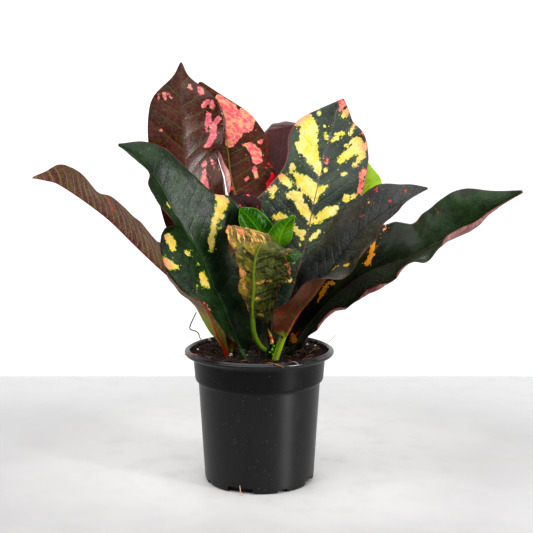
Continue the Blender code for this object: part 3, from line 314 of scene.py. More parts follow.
# Coloured patches as strokes on the blade. Each point is the share of the leaf's length,
# the share of its half width (left below zero) and the stroke's radius in mm.
PATCHES = dict(
    leaf_far_left=dict(
        pink=[[(0.7, -0.77, 0.6), (0.675, -0.53, 0.6), (0.654, -0.38, 0.5)], [(0.717, -0.65, 0.5)]],
    ),
    leaf_front_left=dict(
        yellow=[[(0.637, 1, 2.5), (0.558, 0.8, 3.9), (0.525, 0.65, 2.7), (0.5, 0.52, 1.7),
            (0.475, 0.43, 2.2), (0.45, 0.3, 2.2), (0.429, 0.23, 0.9)],
            [(0.479, -0.82, 2.3), (0.458, -0.7, 3), (0.446, -0.67, 1.7)],
            [(0.421, -0.98, 1.5), (0.404, -0.93, 2.6), (0.396, -0.85, 1.8), (0.392, -0.73, 0.6)],
            [(0.362, -0.24, 3.0), (0.342, -0.26, 3.2), (0.322, -0.2, 1.0)],
            [(0.433, -0.4, 0.8), (0.429, -0.34, 0.7)], [(0.4, -0.22, 0.8)],
            [(0.696, -0.2, 0.8), (0.688, -0.13, 0.6)], [(0.508, 0.68, 1.3), (0.496, 0.57, 0.7)],
            [(0.479, 0.6, 0.8)], [(0.475, 0.52, 0.6)], [(0.329, -0.53, 0.5)]],
        red=[[(0.442, 0.63, 1.6), (0.425, 0.65, 2.8), (0.404, 0.57, 2)]],
        pink=[[(0.246, -0.98, 0.6), (0.221, -1, 0.8)]],
    ),
    leaf_tall_maroon=dict(
        pink=[[(0.79, -0.86, 0.35), (0.75, -0.76, 0.45)],
            [(0.795, -0.68, 0.4), (0.77, -0.56, 0.45), (0.755, -0.53, 0.3)],
            [(0.8, -0.52, 0.4), (0.775, -0.4, 0.5), (0.76, -0.3, 0.3)],
            [(0.821, 0.42, 0.9), (0.835, 0.42, 0.8)], [(0.817, 0.77, 2.1), (0.796, 0.68, 1.6)],
            [(0.75, 0.7, 1.6), (0.729, 0.55, 1.5)], [(0.758, 0.85, 1), (0.729, 0.78, 1.9)],
            [(0.692, 0.65, 1.8), (0.658, 0.6, 2), (0.629, 0.55, 1)], [(0.671, 0.85, 1.8),
            (0.637, 0.72, 2.1), (0.592, 0.73, 2.4), (0.554, 0.65, 2.3), (0.537, 0.58, 1.2)],
            [(0.613, 0.58, 1.1)], [(0.6, -0.63, 0.8)], [(0.7, 0.97, 0.8)],
            [(0.438, 0.62, 1), (0.433, 0.5, 1)],
            [(0.41, 0.56, 1.0), (0.39, 0.5, 2.2), (0.37, 0.44, 3.4), (0.35, 0.46, 3.4)],
            [(0.375, 0.2, 0.9), (0.37, 0.32, 2.0)],
            [(0.435, 0.82, 0.7), (0.42, 0.84, 0.9), (0.398, 0.86, 0.7)], [(0.39, 0.96, 0.8)]],
    ),
    leaf_pink=dict(
        pink=[[(0.883, 0.42, 2.6), (0.796, 0.45, 5.1), (0.688, 0.38, 6.7), (0.575, 0.22, 6.7),
            (0.496, 0.08, 3.3)], [(0.783, 0.85, 4.2), (0.733, 0.83, 5.1), (0.633, 0.58, 4.2)],
            [(0.838, 0.42, 3.4), (0.637, 0.12, 4.2)],
            [(0.492, 0.53, 3.3), (0.458, 0.65, 4.2), (0.396, 0.65, 3.7)], [(0.537, 0.8, 1.7)],
            [(0.338, 0.55, 1.7), (0.271, 0.57, 1.2)], [(0.242, 0.35, 1), (0.258, 0.4, 0.8)],
            [(0.496, 0.4, 1)]],
        red=[[(0.383, 0.92, 0.8)], [(0.36, 0.95, 0.7)], [(0.346, 0.77, 0.8)],
            [(0.31, 0.93, 0.9), (0.283, 0.95, 2.2), (0.229, 0.9, 1.6)],
            [(0.167, -1, 0.8), (0.167, -0.55, 1.6), (0.171, -0.25, 0.8)]],
    ),
    leaf_yellow=dict(
        yellow=[[(0.812, -0.92, 2.1), (0.846, -0.83, 5), (0.8, -0.6, 6.7), (0.75, -0.53, 7.1),
            (0.704, -0.5, 7), (0.658, -0.32, 5.4), (0.617, -0.12, 3.3), (0.592, -0.03, 1.2)],
            [(0.717, -0.77, 1.7), (0.7, -0.62, 5)], [(0.892, -0.68, 1.9)], [(0.575, -0.58, 1.6),
            (0.546, -0.32, 5.7), (0.529, -0.15, 6.1), (0.504, -0.03, 3.7), (0.471, 0, 1.2)],
            [(0.492, -0.48, 2.9), (0.492, -0.35, 4.1), (0.458, -0.22, 3.3), (0.433, -0.1, 3.7),
            (0.412, 0.02, 2), (0.396, 0, 0.6)],
            [(0.558, -0.88, 2.6), (0.542, -0.68, 3.3), (0.529, -0.58, 2)],
            [(0.504, -0.95, 1), (0.512, -0.9, 2), (0.517, -0.85, 1.5)],
            [(0.5, -0.85, 1.6), (0.471, -0.77, 1)], [(0.4, 0.12, 0.6), (0.417, 0.23, 2.7),
            (0.433, 0.35, 4.3), (0.438, 0.45, 2.9), (0.446, 0.5, 1.3)],
            [(0.521, 0.07, 2.1), (0.529, 0.1, 2.3), (0.533, 0.18, 0.7)], [(0.717, 0.75, 5),
            (0.7, 0.85, 4.2), (0.688, 0.65, 3.7), (0.662, 0.48, 3), (0.642, 0.35, 1.5)],
            [(0.675, 0.83, 3.3), (0.65, 0.87, 1.8), (0.625, 0.77, 1.5), (0.604, 0.7, 1.1)],
            [(0.471, 0.68, 1.6), (0.483, 0.68, 2.5)], [(0.483, 0.8, 1.1), (0.492, 0.88, 0.8)],
            [(0.771, 0.6, 0.6), (0.804, 0.85, 1.5), (0.829, 1, 1.2)],
            [(0.879, 0.4, 1), (0.9, 0.68, 1.9), (0.921, 0.78, 1.5)],
            [(0.779, 0.17, 0.8), (0.775, 0.4, 1.3)], [(0.762, 0.13, 1), (0.758, 0.23, 1.1)],
            [(0.75, 0.07, 0.7)], [(0.817, -0.22, 0.8)], [(0.779, -0.15, 0.7), (0.758, -0.08, 0.7)],
            [(0.713, 0.47, 0.9)], [(0.608, 0.08, 1.2)], [(0.579, 0.45, 0.5), (0.575, 0.53, 0.7)],
            [(0.608, -0.78, 1.8), (0.588, -0.78, 1.1)],
            [(0.371, -0.22, 1.9), (0.362, -0.13, 3.2), (0.346, -0.07, 1.1)],
            [(0.346, 0.1, 0.6), (0.358, 0.18, 1.5), (0.371, 0.25, 1.1)],
            [(0.4, -0.57, 1.5), (0.404, -0.5, 2.2), (0.404, -0.42, 1.2)], [(0.392, -0.28, 1.5)],
            [(0.325, -0.1, 0.8)], [(0.279, -0.22, 0.7), (0.275, -0.15, 0.6)],
            [(0.225, -0.18, 0.6), (0.221, -0.08, 0.6)], [(0.279, -0.18, 0.8)], [(0.225, -0.1, 0.8)]],
        pink=[[(0.971, 0.23, 2.5), (0.929, 0.27, 1.3)], [(0.667, 0.07, 0.7), (0.642, 0.08, 1.2)],
            [(0.567, 0.93, 2), (0.546, 0.92, 2)], [(0.521, 0.93, 1.3), (0.496, 0.92, 1.5)],
            [(0.758, 0.98, 1.5)], [(0.6, 0.77, 1.3)]],
    ),
    leaf_front_right=dict(
        red=[[(0.713, -0.3, 0.7)], [(0.846, -0.25, 0.6)], [(0.804, -0.87, 1.2)], [(0.804, -0.75, 0.6)],
            [(0.912, -0.48, 0.7)], [(0.496, -1, 0.9)], [(0.521, 0.92, 0.8)], [(0.554, 0.92, 1)],
            [(0.642, 1, 0.7), (0.667, 1, 0.6)]],
        yellow=[[(0.475, 0.33, 0.6), (0.496, 0.27, 0.8)], [(0.542, 0.47, 0.7), (0.562, 0.57, 0.8)],
            [(0.758, -0.55, 0.7)]],
    ),
    leaf_far_right=dict(
        yellow=[[(0.517, -0.88, 1.1), (0.508, -0.57, 1.6), (0.496, -0.3, 2), (0.479, -0.18, 1)],
            [(0.325, -0.48, 1.5), (0.296, -0.4, 1.9), (0.271, -0.33, 0.6)],
            [(0.338, -0.48, 1.3), (0.35, -0.32, 1.1)], [(0.104, -0.48, 1.8), (0.071, -0.25, 2.4)],
            [(0.55, -1, 0.4), (0.542, -0.8, 0.5)]],
        red=[[(0.113, -0.27, 1)], [(0.771, -0.75, 0.6)], [(0.696, -0.85, 0.7)], [(0.95, 0.93, 0.7)]],
    ),
    leaf_crumpled=dict(
        pink=[[(0.779, 0.97, 1.6), (0.817, 0.9, 1.8), (0.8, 0.8, 1.2)],
            [(0.871, 0.7, 1.2), (0.8, 0.6, 0.9)], [(0.9, 0.2, 0.8), (0.86, 0.1, 0.6)],
            [(0.775, -0.87, 0.9), (0.775, -0.98, 0.8)],
            [(0.55, -0.9, 0.6), (0.508, -0.95, 0.7), (0.471, -1, 0.6)]],
        yellow=[[(0.817, 0.33, 0.8), (0.738, 0.23, 0.7), (0.7, 0.15, 0.5)],
            [(0.66, 0.92, 0.5), (0.6, 0.9, 0.5)], [(0.637, 0.4, 0.5), (0.575, 0.3, 0.4)],
            [(0.429, 0.88, 0.6), (0.388, 0.82, 0.8), (0.33, 0.74, 0.8), (0.27, 0.64, 0.7),
            (0.21, 0.54, 0.5)], [(0.308, -0.13, 0.7), (0.333, -0.33, 0.5)],
            [(0.275, -0.18, 0.4), (0.3, -0.38, 0.4)], [(0.36, -0.6, 0.7), (0.35, -0.75, 0.6)],
            [(0.117, -0.53, 1.0), (0.125, -0.62, 0.6)], [(0.175, -0.15, 0.4), (0.208, -0.33, 0.4)]],
    ),
    leaf_small_maroon=dict(
        pink=[[(0.596, 0.62, 0.8)], [(0.396, -0.4, 0.9)], [(0.25, 0.65, 0.6)]],
    ),
)

# Colours as they look in daylight, 0 to 255. "dark" and "light" mottle the blade.
TOP = dict(
    dark=(12, 27, 8), light=(36, 56, 24), vein=(46, 66, 28), rib=(58, 76, 36), edge=(60, 22, 26),
    yellow=((214, 184, 48), (218, 192, 96)), pink=((210, 74, 92), (222, 134, 110)),
    red=((190, 20, 34), (206, 70, 30)), speck=(110, 134, 20), specks=0.25, streaks=0.0,
    vein_size=0.45, rib_size=0.9, gloss=0.34, stalk=(96, 120, 14), net=0.25, grain=0.00022, shine=0.3,
    jag=1.0, fringe=0.0, lime=(116, 156, 8), dull_left=0.0, dull_foot=0.0, rib_end=9.0, dotted=0.4,
)
UNDER = dict(
    TOP, dark=(84, 44, 34), light=(116, 86, 52), vein=(138, 124, 76), rib=(144, 122, 50),
    edge=(84, 32, 34), speck=(150, 80, 66), streaks=0.6, vein_size=0.7, rib_size=1.4, gloss=0.5,
)
# Each leaf: the look of its upper face and of its underside, and its relief in mm.
LOOKS = dict(
    leaf_far_left=(
        dict(TOP, light=(60, 84, 20)),
        dict(UNDER, dark=(112, 58, 46), light=(124, 104, 46), vein=(176, 146, 132), streaks=1.0,
             vein_size=0.6, margin_band=((112, 122, 28), 2.4), rib=(130, 14, 8),
             pink=((206, 84, 66), (214, 108, 80)), edge=(92, 52, 42), rib_size=2.0, stalk=(160, 20, 10),
             mottle=((86, 46, 36), 0.25), foot=((154, 164, 40), 46.0), rib_foot=((190, 12, 10), 80.0)),
        dict(quilt=0.5, ripple=0.5, hem=0.7, vein_gap=6.5),
    ),
    leaf_front_left=(
        dict(TOP, dark=(11, 27, 8), light=(32, 54, 26), rib=(46, 76, 26), edge=(60, 20, 26),
             vein=(38, 58, 26), red=((96, 66, 6), (110, 50, 10)), yellow=((208, 177, 56), (212, 184, 106)),
             stalk=(30, 54, 24), fringe=0.8, dull_left=0.5),
        UNDER,
        dict(quilt=0.25, ripple=0.9, hem=0.8, vein_gap=11.0, crease=0.35, joined=0.03),
    ),
    leaf_tall_maroon=(
        dict(TOP, dark=(52, 7, 9), light=(74, 18, 20), vein=(66, 84, 16), rib=(62, 44, 18),
             edge=(50, 12, 16), pink=((192, 84, 104), (204, 136, 120)), vein_size=0.5, speck=(150, 46, 44),
             gloss=0.28, mottle=((62, 26, 14), 0.35), net=0.4, grain=0.0001,
             rib_foot=((160, 54, 22), 130.0), shine=0.36, jag=0.75, dull_left=0.5),
        dict(UNDER, dark=(74, 30, 28), light=(110, 60, 46)),
        dict(quilt=0.3, ripple=0.7, hem=0.5, vein_gap=15.0),
    ),
    leaf_pink=(
        dict(TOP, dark=(48, 7, 5), light=(74, 16, 8), vein=(66, 72, 12), rib=(104, 92, 24),
             edge=(120, 20, 34), pink=((206, 76, 98), (212, 148, 112)), red=((206, 8, 38), (216, 44, 56)),
             vein_size=0.55, speck=(200, 30, 46), specks=0.9, gloss=0.36, net=0.45,
             mottle=((58, 32, 10), 0.4), grain=0.00012, shine=0.12, jag=0.7),
        dict(UNDER, dark=(170, 100, 96), light=(214, 164, 160), vein=(200, 180, 170)),
        dict(quilt=0.3, ripple=0.6, hem=0.5, vein_gap=12.0),
    ),
    leaf_back_maroon=(
        dict(TOP, dark=(52, 9, 12), light=(72, 21, 23), vein=(76, 44, 34), rib=(74, 32, 32),
             edge=(50, 12, 16), speck=(120, 34, 34), shine=0.16),
        UNDER,
        dict(quilt=0.5, ripple=0.4, hem=0.2, vein_gap=12.0),
    ),
    leaf_yellow=(
        dict(TOP, dark=(20, 34, 22), light=(48, 62, 44), vein=(44, 58, 40), rib=(94, 60, 50),
             edge=(176, 70, 84), yellow=((218, 187, 58), (220, 200, 122)), fringe=0.5,
             pink=((220, 88, 86), (228, 134, 104)), speck=(110, 150, 20), specks=0.7, gloss=0.28,
             shine=0.4, jag=1.15, dotted=0.85),
        dict(UNDER, dark=(100, 70, 56), light=(150, 124, 80), yellow=((204, 160, 76), (214, 144, 92))),
        dict(quilt=0.25, ripple=0.7, hem=0.6, vein_gap=12.0, crease=0.2),
    ),
    leaf_front_right=(
        dict(TOP, dark=(26, 25, 25), light=(52, 55, 53), vein=(34, 32, 30), rib=(12, 12, 9), grain=0.00042,
             shine=0.38, edge=(96, 26, 36), yellow=((190, 136, 20), (206, 160, 40)), speck=(140, 56, 50),
             mottle=((24, 38, 22), 0.45), specks=0.7, gloss=0.3, stalk=(136, 168, 4)),
        dict(UNDER, dark=(92, 8, 20), light=(108, 22, 30), rib=(186, 98, 24), vein=(70, 62, 20),
             streaks=0.2, stalk=(142, 174, 4), fine_mottle=((44, 54, 8), 0.95),
             foot=((96, 116, 10), 10.0)),
        dict(quilt=0.25, ripple=1.2, hem=0.9, vein_gap=10.0, crease=0.5),
    ),
    leaf_far_right=(
        dict(TOP, dark=(10, 22, 6), light=(28, 50, 20), vein=(26, 40, 16), rib=(66, 26, 20),
             mottle=((36, 18, 12), 0.35), edge=(86, 32, 36), grain=0.00015,
             yellow=((228, 144, 10), (234, 164, 34)), red=((200, 40, 16), (206, 54, 18)),
             rib_foot=((84, 76, 64), 60.0), stalk=(14, 26, 10), speck=(80, 60, 16), specks=0.15, gloss=0.3,
             tip=(36, 60, 26), dull_foot=0.6),
        dict(UNDER, dark=(104, 52, 50), light=(146, 102, 98), vein=(150, 118, 110), stalk=(50, 62, 14)),
        dict(quilt=0.25, ripple=0.9, hem=1.0, vein_gap=11.0, crease=0.4, joined=0.03),
    ),
    leaf_crumpled=(
        dict(TOP, dark=(50, 70, 10), light=(92, 106, 20), stalk=(90, 118, 6)),
        dict(UNDER, dark=(32, 38, 10), light=(78, 84, 24), vein=(104, 110, 30), rib=(98, 122, 6),
             edge=(150, 66, 48), pink=((180, 92, 72), (190, 124, 76)),
             yellow=((160, 132, 52), (172, 116, 68)), fibrous=20.0, streaks=1.0, stalk=(90, 118, 4),
             speck=(150, 100, 60), specks=0.4, vein_size=0.35, rib_size=0.8, mottle=((36, 30, 10), 0.4),
             half=((146, 124, 30), 0.7), net=0.4, crown=((212, 162, 84), (58, 30, 12), 0.58), rib_end=0.8,
             # The dark foot of this underside is painted shade, for the shade low among the leaves.
             foot=((24, 33, 9), 26.0)),
        dict(quilt=0.5, ripple=1.4, hem=1.6, vein_gap=7.0, crease=1.8, frayed=2.6, grid=(220, 40), rib=0.6,
             rib_end=0.82),
    ),
    leaf_lime_behind=(
        dict(TOP, dark=(120, 156, 4), light=(146, 182, 8), vein=(170, 194, 40), rib=(184, 196, 60),
             edge=(140, 170, 10), speck=(190, 200, 40)),
        dict(UNDER, dark=(130, 150, 20), light=(150, 180, 30), vein=(180, 200, 60)),
        dict(quilt=0.5, ripple=0.5, hem=0.4, vein_gap=10.0),
    ),
    leaf_small_maroon=(
        dict(TOP, dark=(28, 7, 9), light=(46, 18, 18), vein=(48, 30, 20), rib=(58, 30, 24), shine=0.12,
             edge=(80, 26, 32), pink=((206, 60, 84), (212, 96, 92))),
        dict(UNDER, dark=(70, 32, 26), light=(100, 56, 44)),
        dict(quilt=0.3, ripple=0.3, hem=0.2, vein_gap=5.0),
    ),
    leaf_small_low=(
        dict(TOP, dark=(62, 20, 6), light=(114, 66, 8), vein=(50, 12, 4), rib=(50, 12, 4),
             edge=(220, 56, 72), streaks=0.8, stalk=(146, 146, 12)),
        dict(UNDER, dark=(84, 30, 12), light=(124, 80, 16), edge=(220, 56, 72), stalk=(146, 146, 12)),
        dict(quilt=0.2, ripple=0.2, hem=0.1, vein_gap=3.0),
    ),
    bud_leaf_left=(
        dict(TOP, dark=(24, 68, 0), light=(46, 94, 0), vein=(56, 108, 2), rib=(76, 120, 4), shine=0.07,
             edge=(90, 140, 16), speck=(60, 116, 2), gloss=0.14, stalk=(70, 120, 10), grain=0.00008),
        dict(UNDER, dark=(50, 100, 6), light=(80, 130, 14), vein=(100, 150, 30), rib=(110, 150, 30),
             gloss=0.3, stalk=(70, 120, 10)),
        dict(quilt=0.12, ripple=0.15, hem=0.2, vein_gap=4.0),
    ),
    bud_leaf_right=(
        dict(TOP, dark=(46, 88, 1), light=(74, 120, 2), vein=(84, 130, 4), rib=(104, 146, 10), shine=0.1,
             edge=(110, 156, 30), speck=(100, 146, 6), gloss=0.34, stalk=(80, 120, 10), grain=0.00008),
        dict(UNDER, dark=(70, 110, 4), light=(100, 140, 14), vein=(120, 160, 30), stalk=(80, 120, 10)),
        dict(quilt=0.12, ripple=0.2, hem=0.2, vein_gap=4.0),
    ),
    bud_leaf_small=(
        dict(TOP, dark=(12, 42, 3), light=(28, 64, 6), vein=(50, 96, 16), rib=(60, 110, 20),
             edge=(44, 74, 24), speck=(50, 100, 6), gloss=0.2, stalk=(70, 120, 10), grain=0.0001),
        dict(UNDER, dark=(50, 100, 14), light=(80, 130, 30), gloss=0.3, stalk=(70, 120, 10)),
        dict(quilt=0.3, ripple=0.35, hem=0.3, vein_gap=3.5),
    ),
)

# Soft boxes: place, aim, width and height in metres, and power in watts.
SOFT_BOXES = [
    ("box_right", (1.75, -1.25, 0.6), (0, 0, 0.12), 0.46, 1.15, 34.0),
    ("box_above", (-0.3, -0.9, 1.9), (0, 0, 0.1), 3.2, 2.6, 62.0),
    ("box_back", (0.1, 1.1, 1.3), (0, 0.1, 0.05), 1.8, 0.8, 8.0),
]
ROOM_FRONT = 0.08  # brightness of the room behind the camera
ROOM_BACK = 1.05  # and at the sides and behind the plant
ROOM_ABOVE = 0.45  # share of that light that is left overhead
# How far back, and how far up, a direction points where the one light turns into the other.
ROOM_TURN, ROOM_RISE = (-0.95, 0.1), (0.3, 0.8)

# Fine roots and fibres: the thickest radius, the colours and the points in mm.
DARK_ROOT = ((40, 30, 32), (104, 92, 98))
PALE_ROOT = ((176, 150, 140), (206, 186, 176))
TAN_ROOT = ((120, 66, 36), (176, 112, 70))
ROOTS = [
    (0.55, DARK_ROOT, [(-53, 47, 128), (-55.4, 47, 123), (-58.3, 47, 116.5), (-58.2, 46, 113.5),
                       (-54, 46, 112), (-51.4, 46, 110), (-50.2, 44, 107), (-48, 42, 104)]),
    (0.2, PALE_ROOT, [(-68, -22, 109), (-64.5, -22, 107.4), (-61.5, -24, 106), (-58.5, -26, 107)]),
    (0.3, TAN_ROOT, [(-59.5, -22, 106.8), (-56, -25, 108), (-52.6, -26, 108.5), (-49.5, -22, 107.4),
                     (-46, -18, 105.5)]),
    (0.2, TAN_ROOT, [(53, 18, 105), (57, 20, 108.6), (60.5, 20, 111.5), (62.7, 20, 114)]),
    (0.3, TAN_ROOT, [(5, -50, 106.5), (9, -55.5, 108.4), (15, -57.6, 107), (19, -57.4, 105.5)]),
    (0.22, PALE_ROOT, [(22, -48, 106.8), (27, -51.5, 108.3), (30, -52.6, 106.4)]),
    (0.45, PALE_ROOT, [(-15, -43.5, 7.5), (-14.6, -45.2, 4.4), (-14, -46, 2), (-12.6, -46.5, 0.4)]),
]
# Loose crumbs: how many, how many more along the rim, and their sizes.
CRUMBS = dict(
    soil_crumbs_dark=(1100, 420, 0.5, 1.5), soil_crumbs_brown=(320, 90, 0.4, 1.2),
    soil_grit_pale=(60, 0, 0.2, 0.55),
)
FIBRES, FIBRE_LIMIT = 70, 51.5  # fibres that reach out further than the limit are drawn in
# White grains: place and size. The last two lie behind the stems.
PERLITE = [
    (-41.8, 36.0, 1.8), (-49.6, 4.0, 0.9), (-23.0, 8.9, 1.8), (-10.0, 8.9, 1.0), (39.1, 22.9, 1.1),
    (45.5, 18.5, 0.9), (46.1, 33.0, 0.8), (-12, 41, 1.5), (20, 44, 1.2),
]
PERLITE_LIFT = 0.75  # how far a grain stands out of the soil, as a share of its size
# Tiny buds at the foot of the middle stem: place and size.
BUDS = [
    (10.3, -4.4, 107.2, 1.1), (9.2, -3.8, 112.0, 0.8), (11.8, -3.8, 110.0, 0.9),
    (8.6, -4, 104.9, 0.8), (11.0, -4.6, 103.4, 0.9),
]
# The young shoot beside them: its axis, and its radius at some heights.
SHOOT = [(10.4, -2, 101.5), (11, -2, 108.5), (10.2, -2, 113.5), (8.8, -2, 119), (7, -2, 123.6)]
SHOOT_HEIGHTS, SHOOT_RADII = (101, 106, 110, 113, 118, 124), (0.7, 1.3, 0.5, 1.5, 1.3, 0.3)


def unit(v):
    return v / np.maximum(np.linalg.norm(v, axis=-1, keepdims=True), 1e-9)


def smooth(points, count):
    """Catmull-Rom curve through the points, at even steps by index."""
    points = np.asarray(points, float)
    if points.ndim == 1:
        points = points[:, None]
    last = len(points) - 1
    ends = np.vstack([2 * points[0] - points[1], points, 2 * points[-1] - points[-2]])
    t = np.linspace(0, last, count)
    i = np.minimum(t.astype(int), last - 1)
    f = (t - i)[:, None]
    a, b, c, d = ends[i], ends[i + 1], ends[i + 2], ends[i + 3]
    slope = (c - a) * f
    bend = (2 * a - 5 * b + 4 * c - d) * f**2
    twist = (3 * b - a - 3 * c + d) * f**3
    return 0.5 * (2 * b + slope + bend + twist)


def ripples(x, y, length, seed, count=7):
    """Uneven soft bumps between about -1 and 1 from a few plane waves."""
    rng = np.random.default_rng(seed)
    total = 0
    for _ in range(count):
        turn = rng.uniform(0, 2 * math.pi)
        wave_length = length * rng.uniform(0.7, 1.6)
        along = (x * math.cos(turn) + y * math.sin(turn)) / wave_length
        total = total + np.sin(2 * math.pi * along + rng.uniform(0, 2 * math.pi))
    return total / (0.75 * count)


def add_object(name, data):
    obj = bpy.data.objects.new(name, data)
    bpy.context.scene.collection.objects.link(obj)
    return obj


def add_box(name, corners):
    """A box in metres from its four lower and four upper corners."""
    mesh = bpy.data.meshes.new(name)
    mesh.from_pydata([tuple(c) for c in corners], [], BOX_FACES)
    return add_object(name, mesh)


def add_mesh(name, shape, materials, slots=None, values=None, smooth_shaded=True):
    """A piece from points in mm and faces, kept inside the outer size of the frame."""
    points = np.clip(np.asarray(shape[0], float) * MM, np.array(CAD_LOW), np.array(CAD_HIGH))
    mesh = bpy.data.meshes.new(name)
    mesh.from_pydata(points.tolist(), [], [tuple(f) for f in shape[1]])
    for made in materials:
        mesh.materials.append(made)
    if slots is not None:
        mesh.polygons.foreach_set("material_index", np.asarray(slots, np.int32))
    for key, data in (values or {}).items():
        layer = mesh.attributes.new(key, "FLOAT_VECTOR", "POINT")
        layer.data.foreach_set("vector", np.stack(data, axis=1).astype(np.float32).ravel())
    if smooth_shaded:
        mesh.shade_smooth()
    return add_object(name, mesh)


def attach(obj, slot, *nodes):
    """The piece rides with the plant and may stand for nodes of the frame, which it hides; the slot is not
    used.
    """
    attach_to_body(obj, "root")
    if nodes:
        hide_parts(*nodes)


def linear(colour):
    """Scene colour from a daylight colour of 0 to 255."""
    shares = [c / 255 for c in colour]
    return tuple(s / 12.92 if s <= 0.04045 else ((s + 0.055) / 1.055) ** 2.4 for s in shares) + (1.0,)


class Signal:
    """What comes out of a shader node. A sum with it adds a Math node."""

    def __init__(self, shader, socket):
        self.shader, self.socket = shader, socket

    def __add__(self, other):
        return self.shader.math("ADD", self, other)

    def __sub__(self, other):
        return self.shader.math("SUBTRACT", self, other)

    def __rsub__(self, other):
        return self.shader.math("SUBTRACT", other, self)

    def __mul__(self, other):
        return self.shader.math("MULTIPLY", self, other)

    __radd__, __rmul__ = __add__, __mul__


class Shader:
    """The nodes of a material or of the world: each method adds one and gives its Signal."""

    def __init__(self, owner):
        owner.use_nodes = True
        self.owner, self.tree = owner, owner.node_tree

    def feed(self, socket, value):
        if isinstance(value, Signal):
            self.tree.links.new(value.socket, socket)
        else:
            socket.default_value = value

    def node(self, kind, inputs=None, out=0, **settings):
        """Any node, by its kind, inputs and settings, and which output is wanted."""
        node = self.tree.nodes.new("ShaderNode" + kind)
        for key, value in settings.items():
            setattr(node, key, value)
        for key, value in (inputs or {}).items():
            self.feed(node.inputs[key], value)
        return Signal(self, node.outputs[out])

    def finish(self, **inputs):
        for key, value in inputs.items():
            name = key.replace("_", " ").title().replace("Ior", "IOR")
            self.feed(self.tree.nodes["Principled BSDF"].inputs[name], value)
        return self.owner

    def place(self):
        """Where a point is on the object, in metres."""
        return self.node("TexCoord", out="Object")

    def value(self, name):
        return self.node("Attribute", out="Vector", attribute_name=name)

    def split(self, vector):
        first = self.node("SeparateXYZ", {0: vector})
        return [Signal(self, socket) for socket in first.socket.node.outputs]

    def join(self, x, y, z):
        return self.node("CombineXYZ", {0: x, 1: y, 2: z})

    def math(self, operation, *values):
        return self.node("Math", dict(enumerate(values)), operation=operation)

    def far(self, x, y):
        return self.math("SQRT", x * x + y * y)

    def band(self, value, low, high, start=0.0, end=1.0):
        """The start below the low value, the end above the high one, and soft between."""
        inputs = {"Value": value, "From Min": low, "From Max": high, "To Min": start, "To Max": end}
        return self.node("MapRange", inputs, interpolation_type="SMOOTHSTEP")

    def line(self, distance, inner, outer):
        """1 near a line and 0 away from it."""
        return 1.0 - self.band(distance, inner, outer)

    def mix(self, share, first, second):
        ends = [linear(end) if isinstance(end, tuple) else end for end in (first, second)]
        return self.node("Mix", {0: share, 6: ends[0], 7: ends[1]}, 2, data_type="RGBA")

    def noise(self, where, size, detail=3.0, rough=0.55):
        inputs = {"Vector": where, "Scale": 1 / size, "Detail": detail, "Roughness": rough}
        return self.node("TexNoise", inputs, "Fac")

    def cells(self, where, size, feature="F1"):
        """Distance from the middle or the edge of random cells."""
        return self.node("TexVoronoi", {"Vector": where, "Scale": 1 / size}, "Distance", feature=feature)

    def pick(self, cells):
        """A random number for each of the cells."""
        return self.split(Signal(self, cells.socket.node.outputs["Color"]))[0]

    def dots(self, where, gap, radius, share):
        """Small dots, one in some of the cells."""
        cells = self.cells(where, gap)
        near = self.line(cells, radius / gap * 0.7, radius / gap)
        return near * self.band(self.pick(cells), 1 - share, 1.001 - share)

    def bump(self, height, depth):
        return self.node("Bump", {"Distance": depth, "Height": height})


def material(name):
    return Shader(bpy.data.materials.new(name))


def half_blade(mid, edge, tangent, turn, side, across):
    """Points from the midrib to one margin along an arc, for each row."""
    chord = edge - mid
    length = np.linalg.norm(chord, axis=1)[:, None]
    along = unit(chord)
    up = unit(np.cross(along, tangent)) * side
    angle = np.radians(np.where(np.abs(turn) < 0.5, 0.5, turn))[:, None]
    radius = length / (2 * np.sin(angle / 2))
    phi = (across - 0.5) * angle
    out = length / 2 + radius * np.sin(phi)
    sag = radius * (np.cos(phi) - np.cos(angle / 2))
    return mid[:, None] + out[..., None] * along[:, None] - sag[..., None] * up[:, None]


def grid_normals(grid):
    return unit(np.cross(np.gradient(grid, axis=1), np.gradient(grid, axis=0)))


def wave(grid, across, side, shape):
    """Lifts one margin in waves, more towards the edge and less at both ends."""
    height, count, start = shape
    s = np.linspace(0, 1, len(grid))
    ends = np.sqrt(np.sin(math.pi * s))
    lift = height * ends * np.sin(2 * math.pi * (count * s + start))
    share = np.clip(across * side, 0, 1) ** 2
    return grid + (lift[:, None] * share)[..., None] * grid_normals(grid)


def leaf_surface(leaf, rows, columns):
    """Middle surface of the blade, and how far across each point is, from -1 to 1."""
    mid = smooth(leaf["mid"], rows)
    tangent = unit(np.gradient(mid, axis=0))
    steps = np.linspace(0, 1, columns + 1)[1:] ** CROWD
    across = np.tile(steps, (rows, 1))
    halves = []
    for key, side in SIDES:
        turn = smooth(leaf["cup_" + key], rows)[:, 0]
        halves.append(half_blade(mid, smooth(leaf[key], rows), tangent, turn, side, across))
    grid = np.concatenate([halves[0][:, ::-1], mid[:, None], halves[1]], axis=1)
    across = np.concatenate([-across[:, ::-1], np.zeros((rows, 1)), across], axis=1)
    for key, side in SIDES:
        grid = wave(grid, across, side, leaf["wave_" + key])
    return grid, across


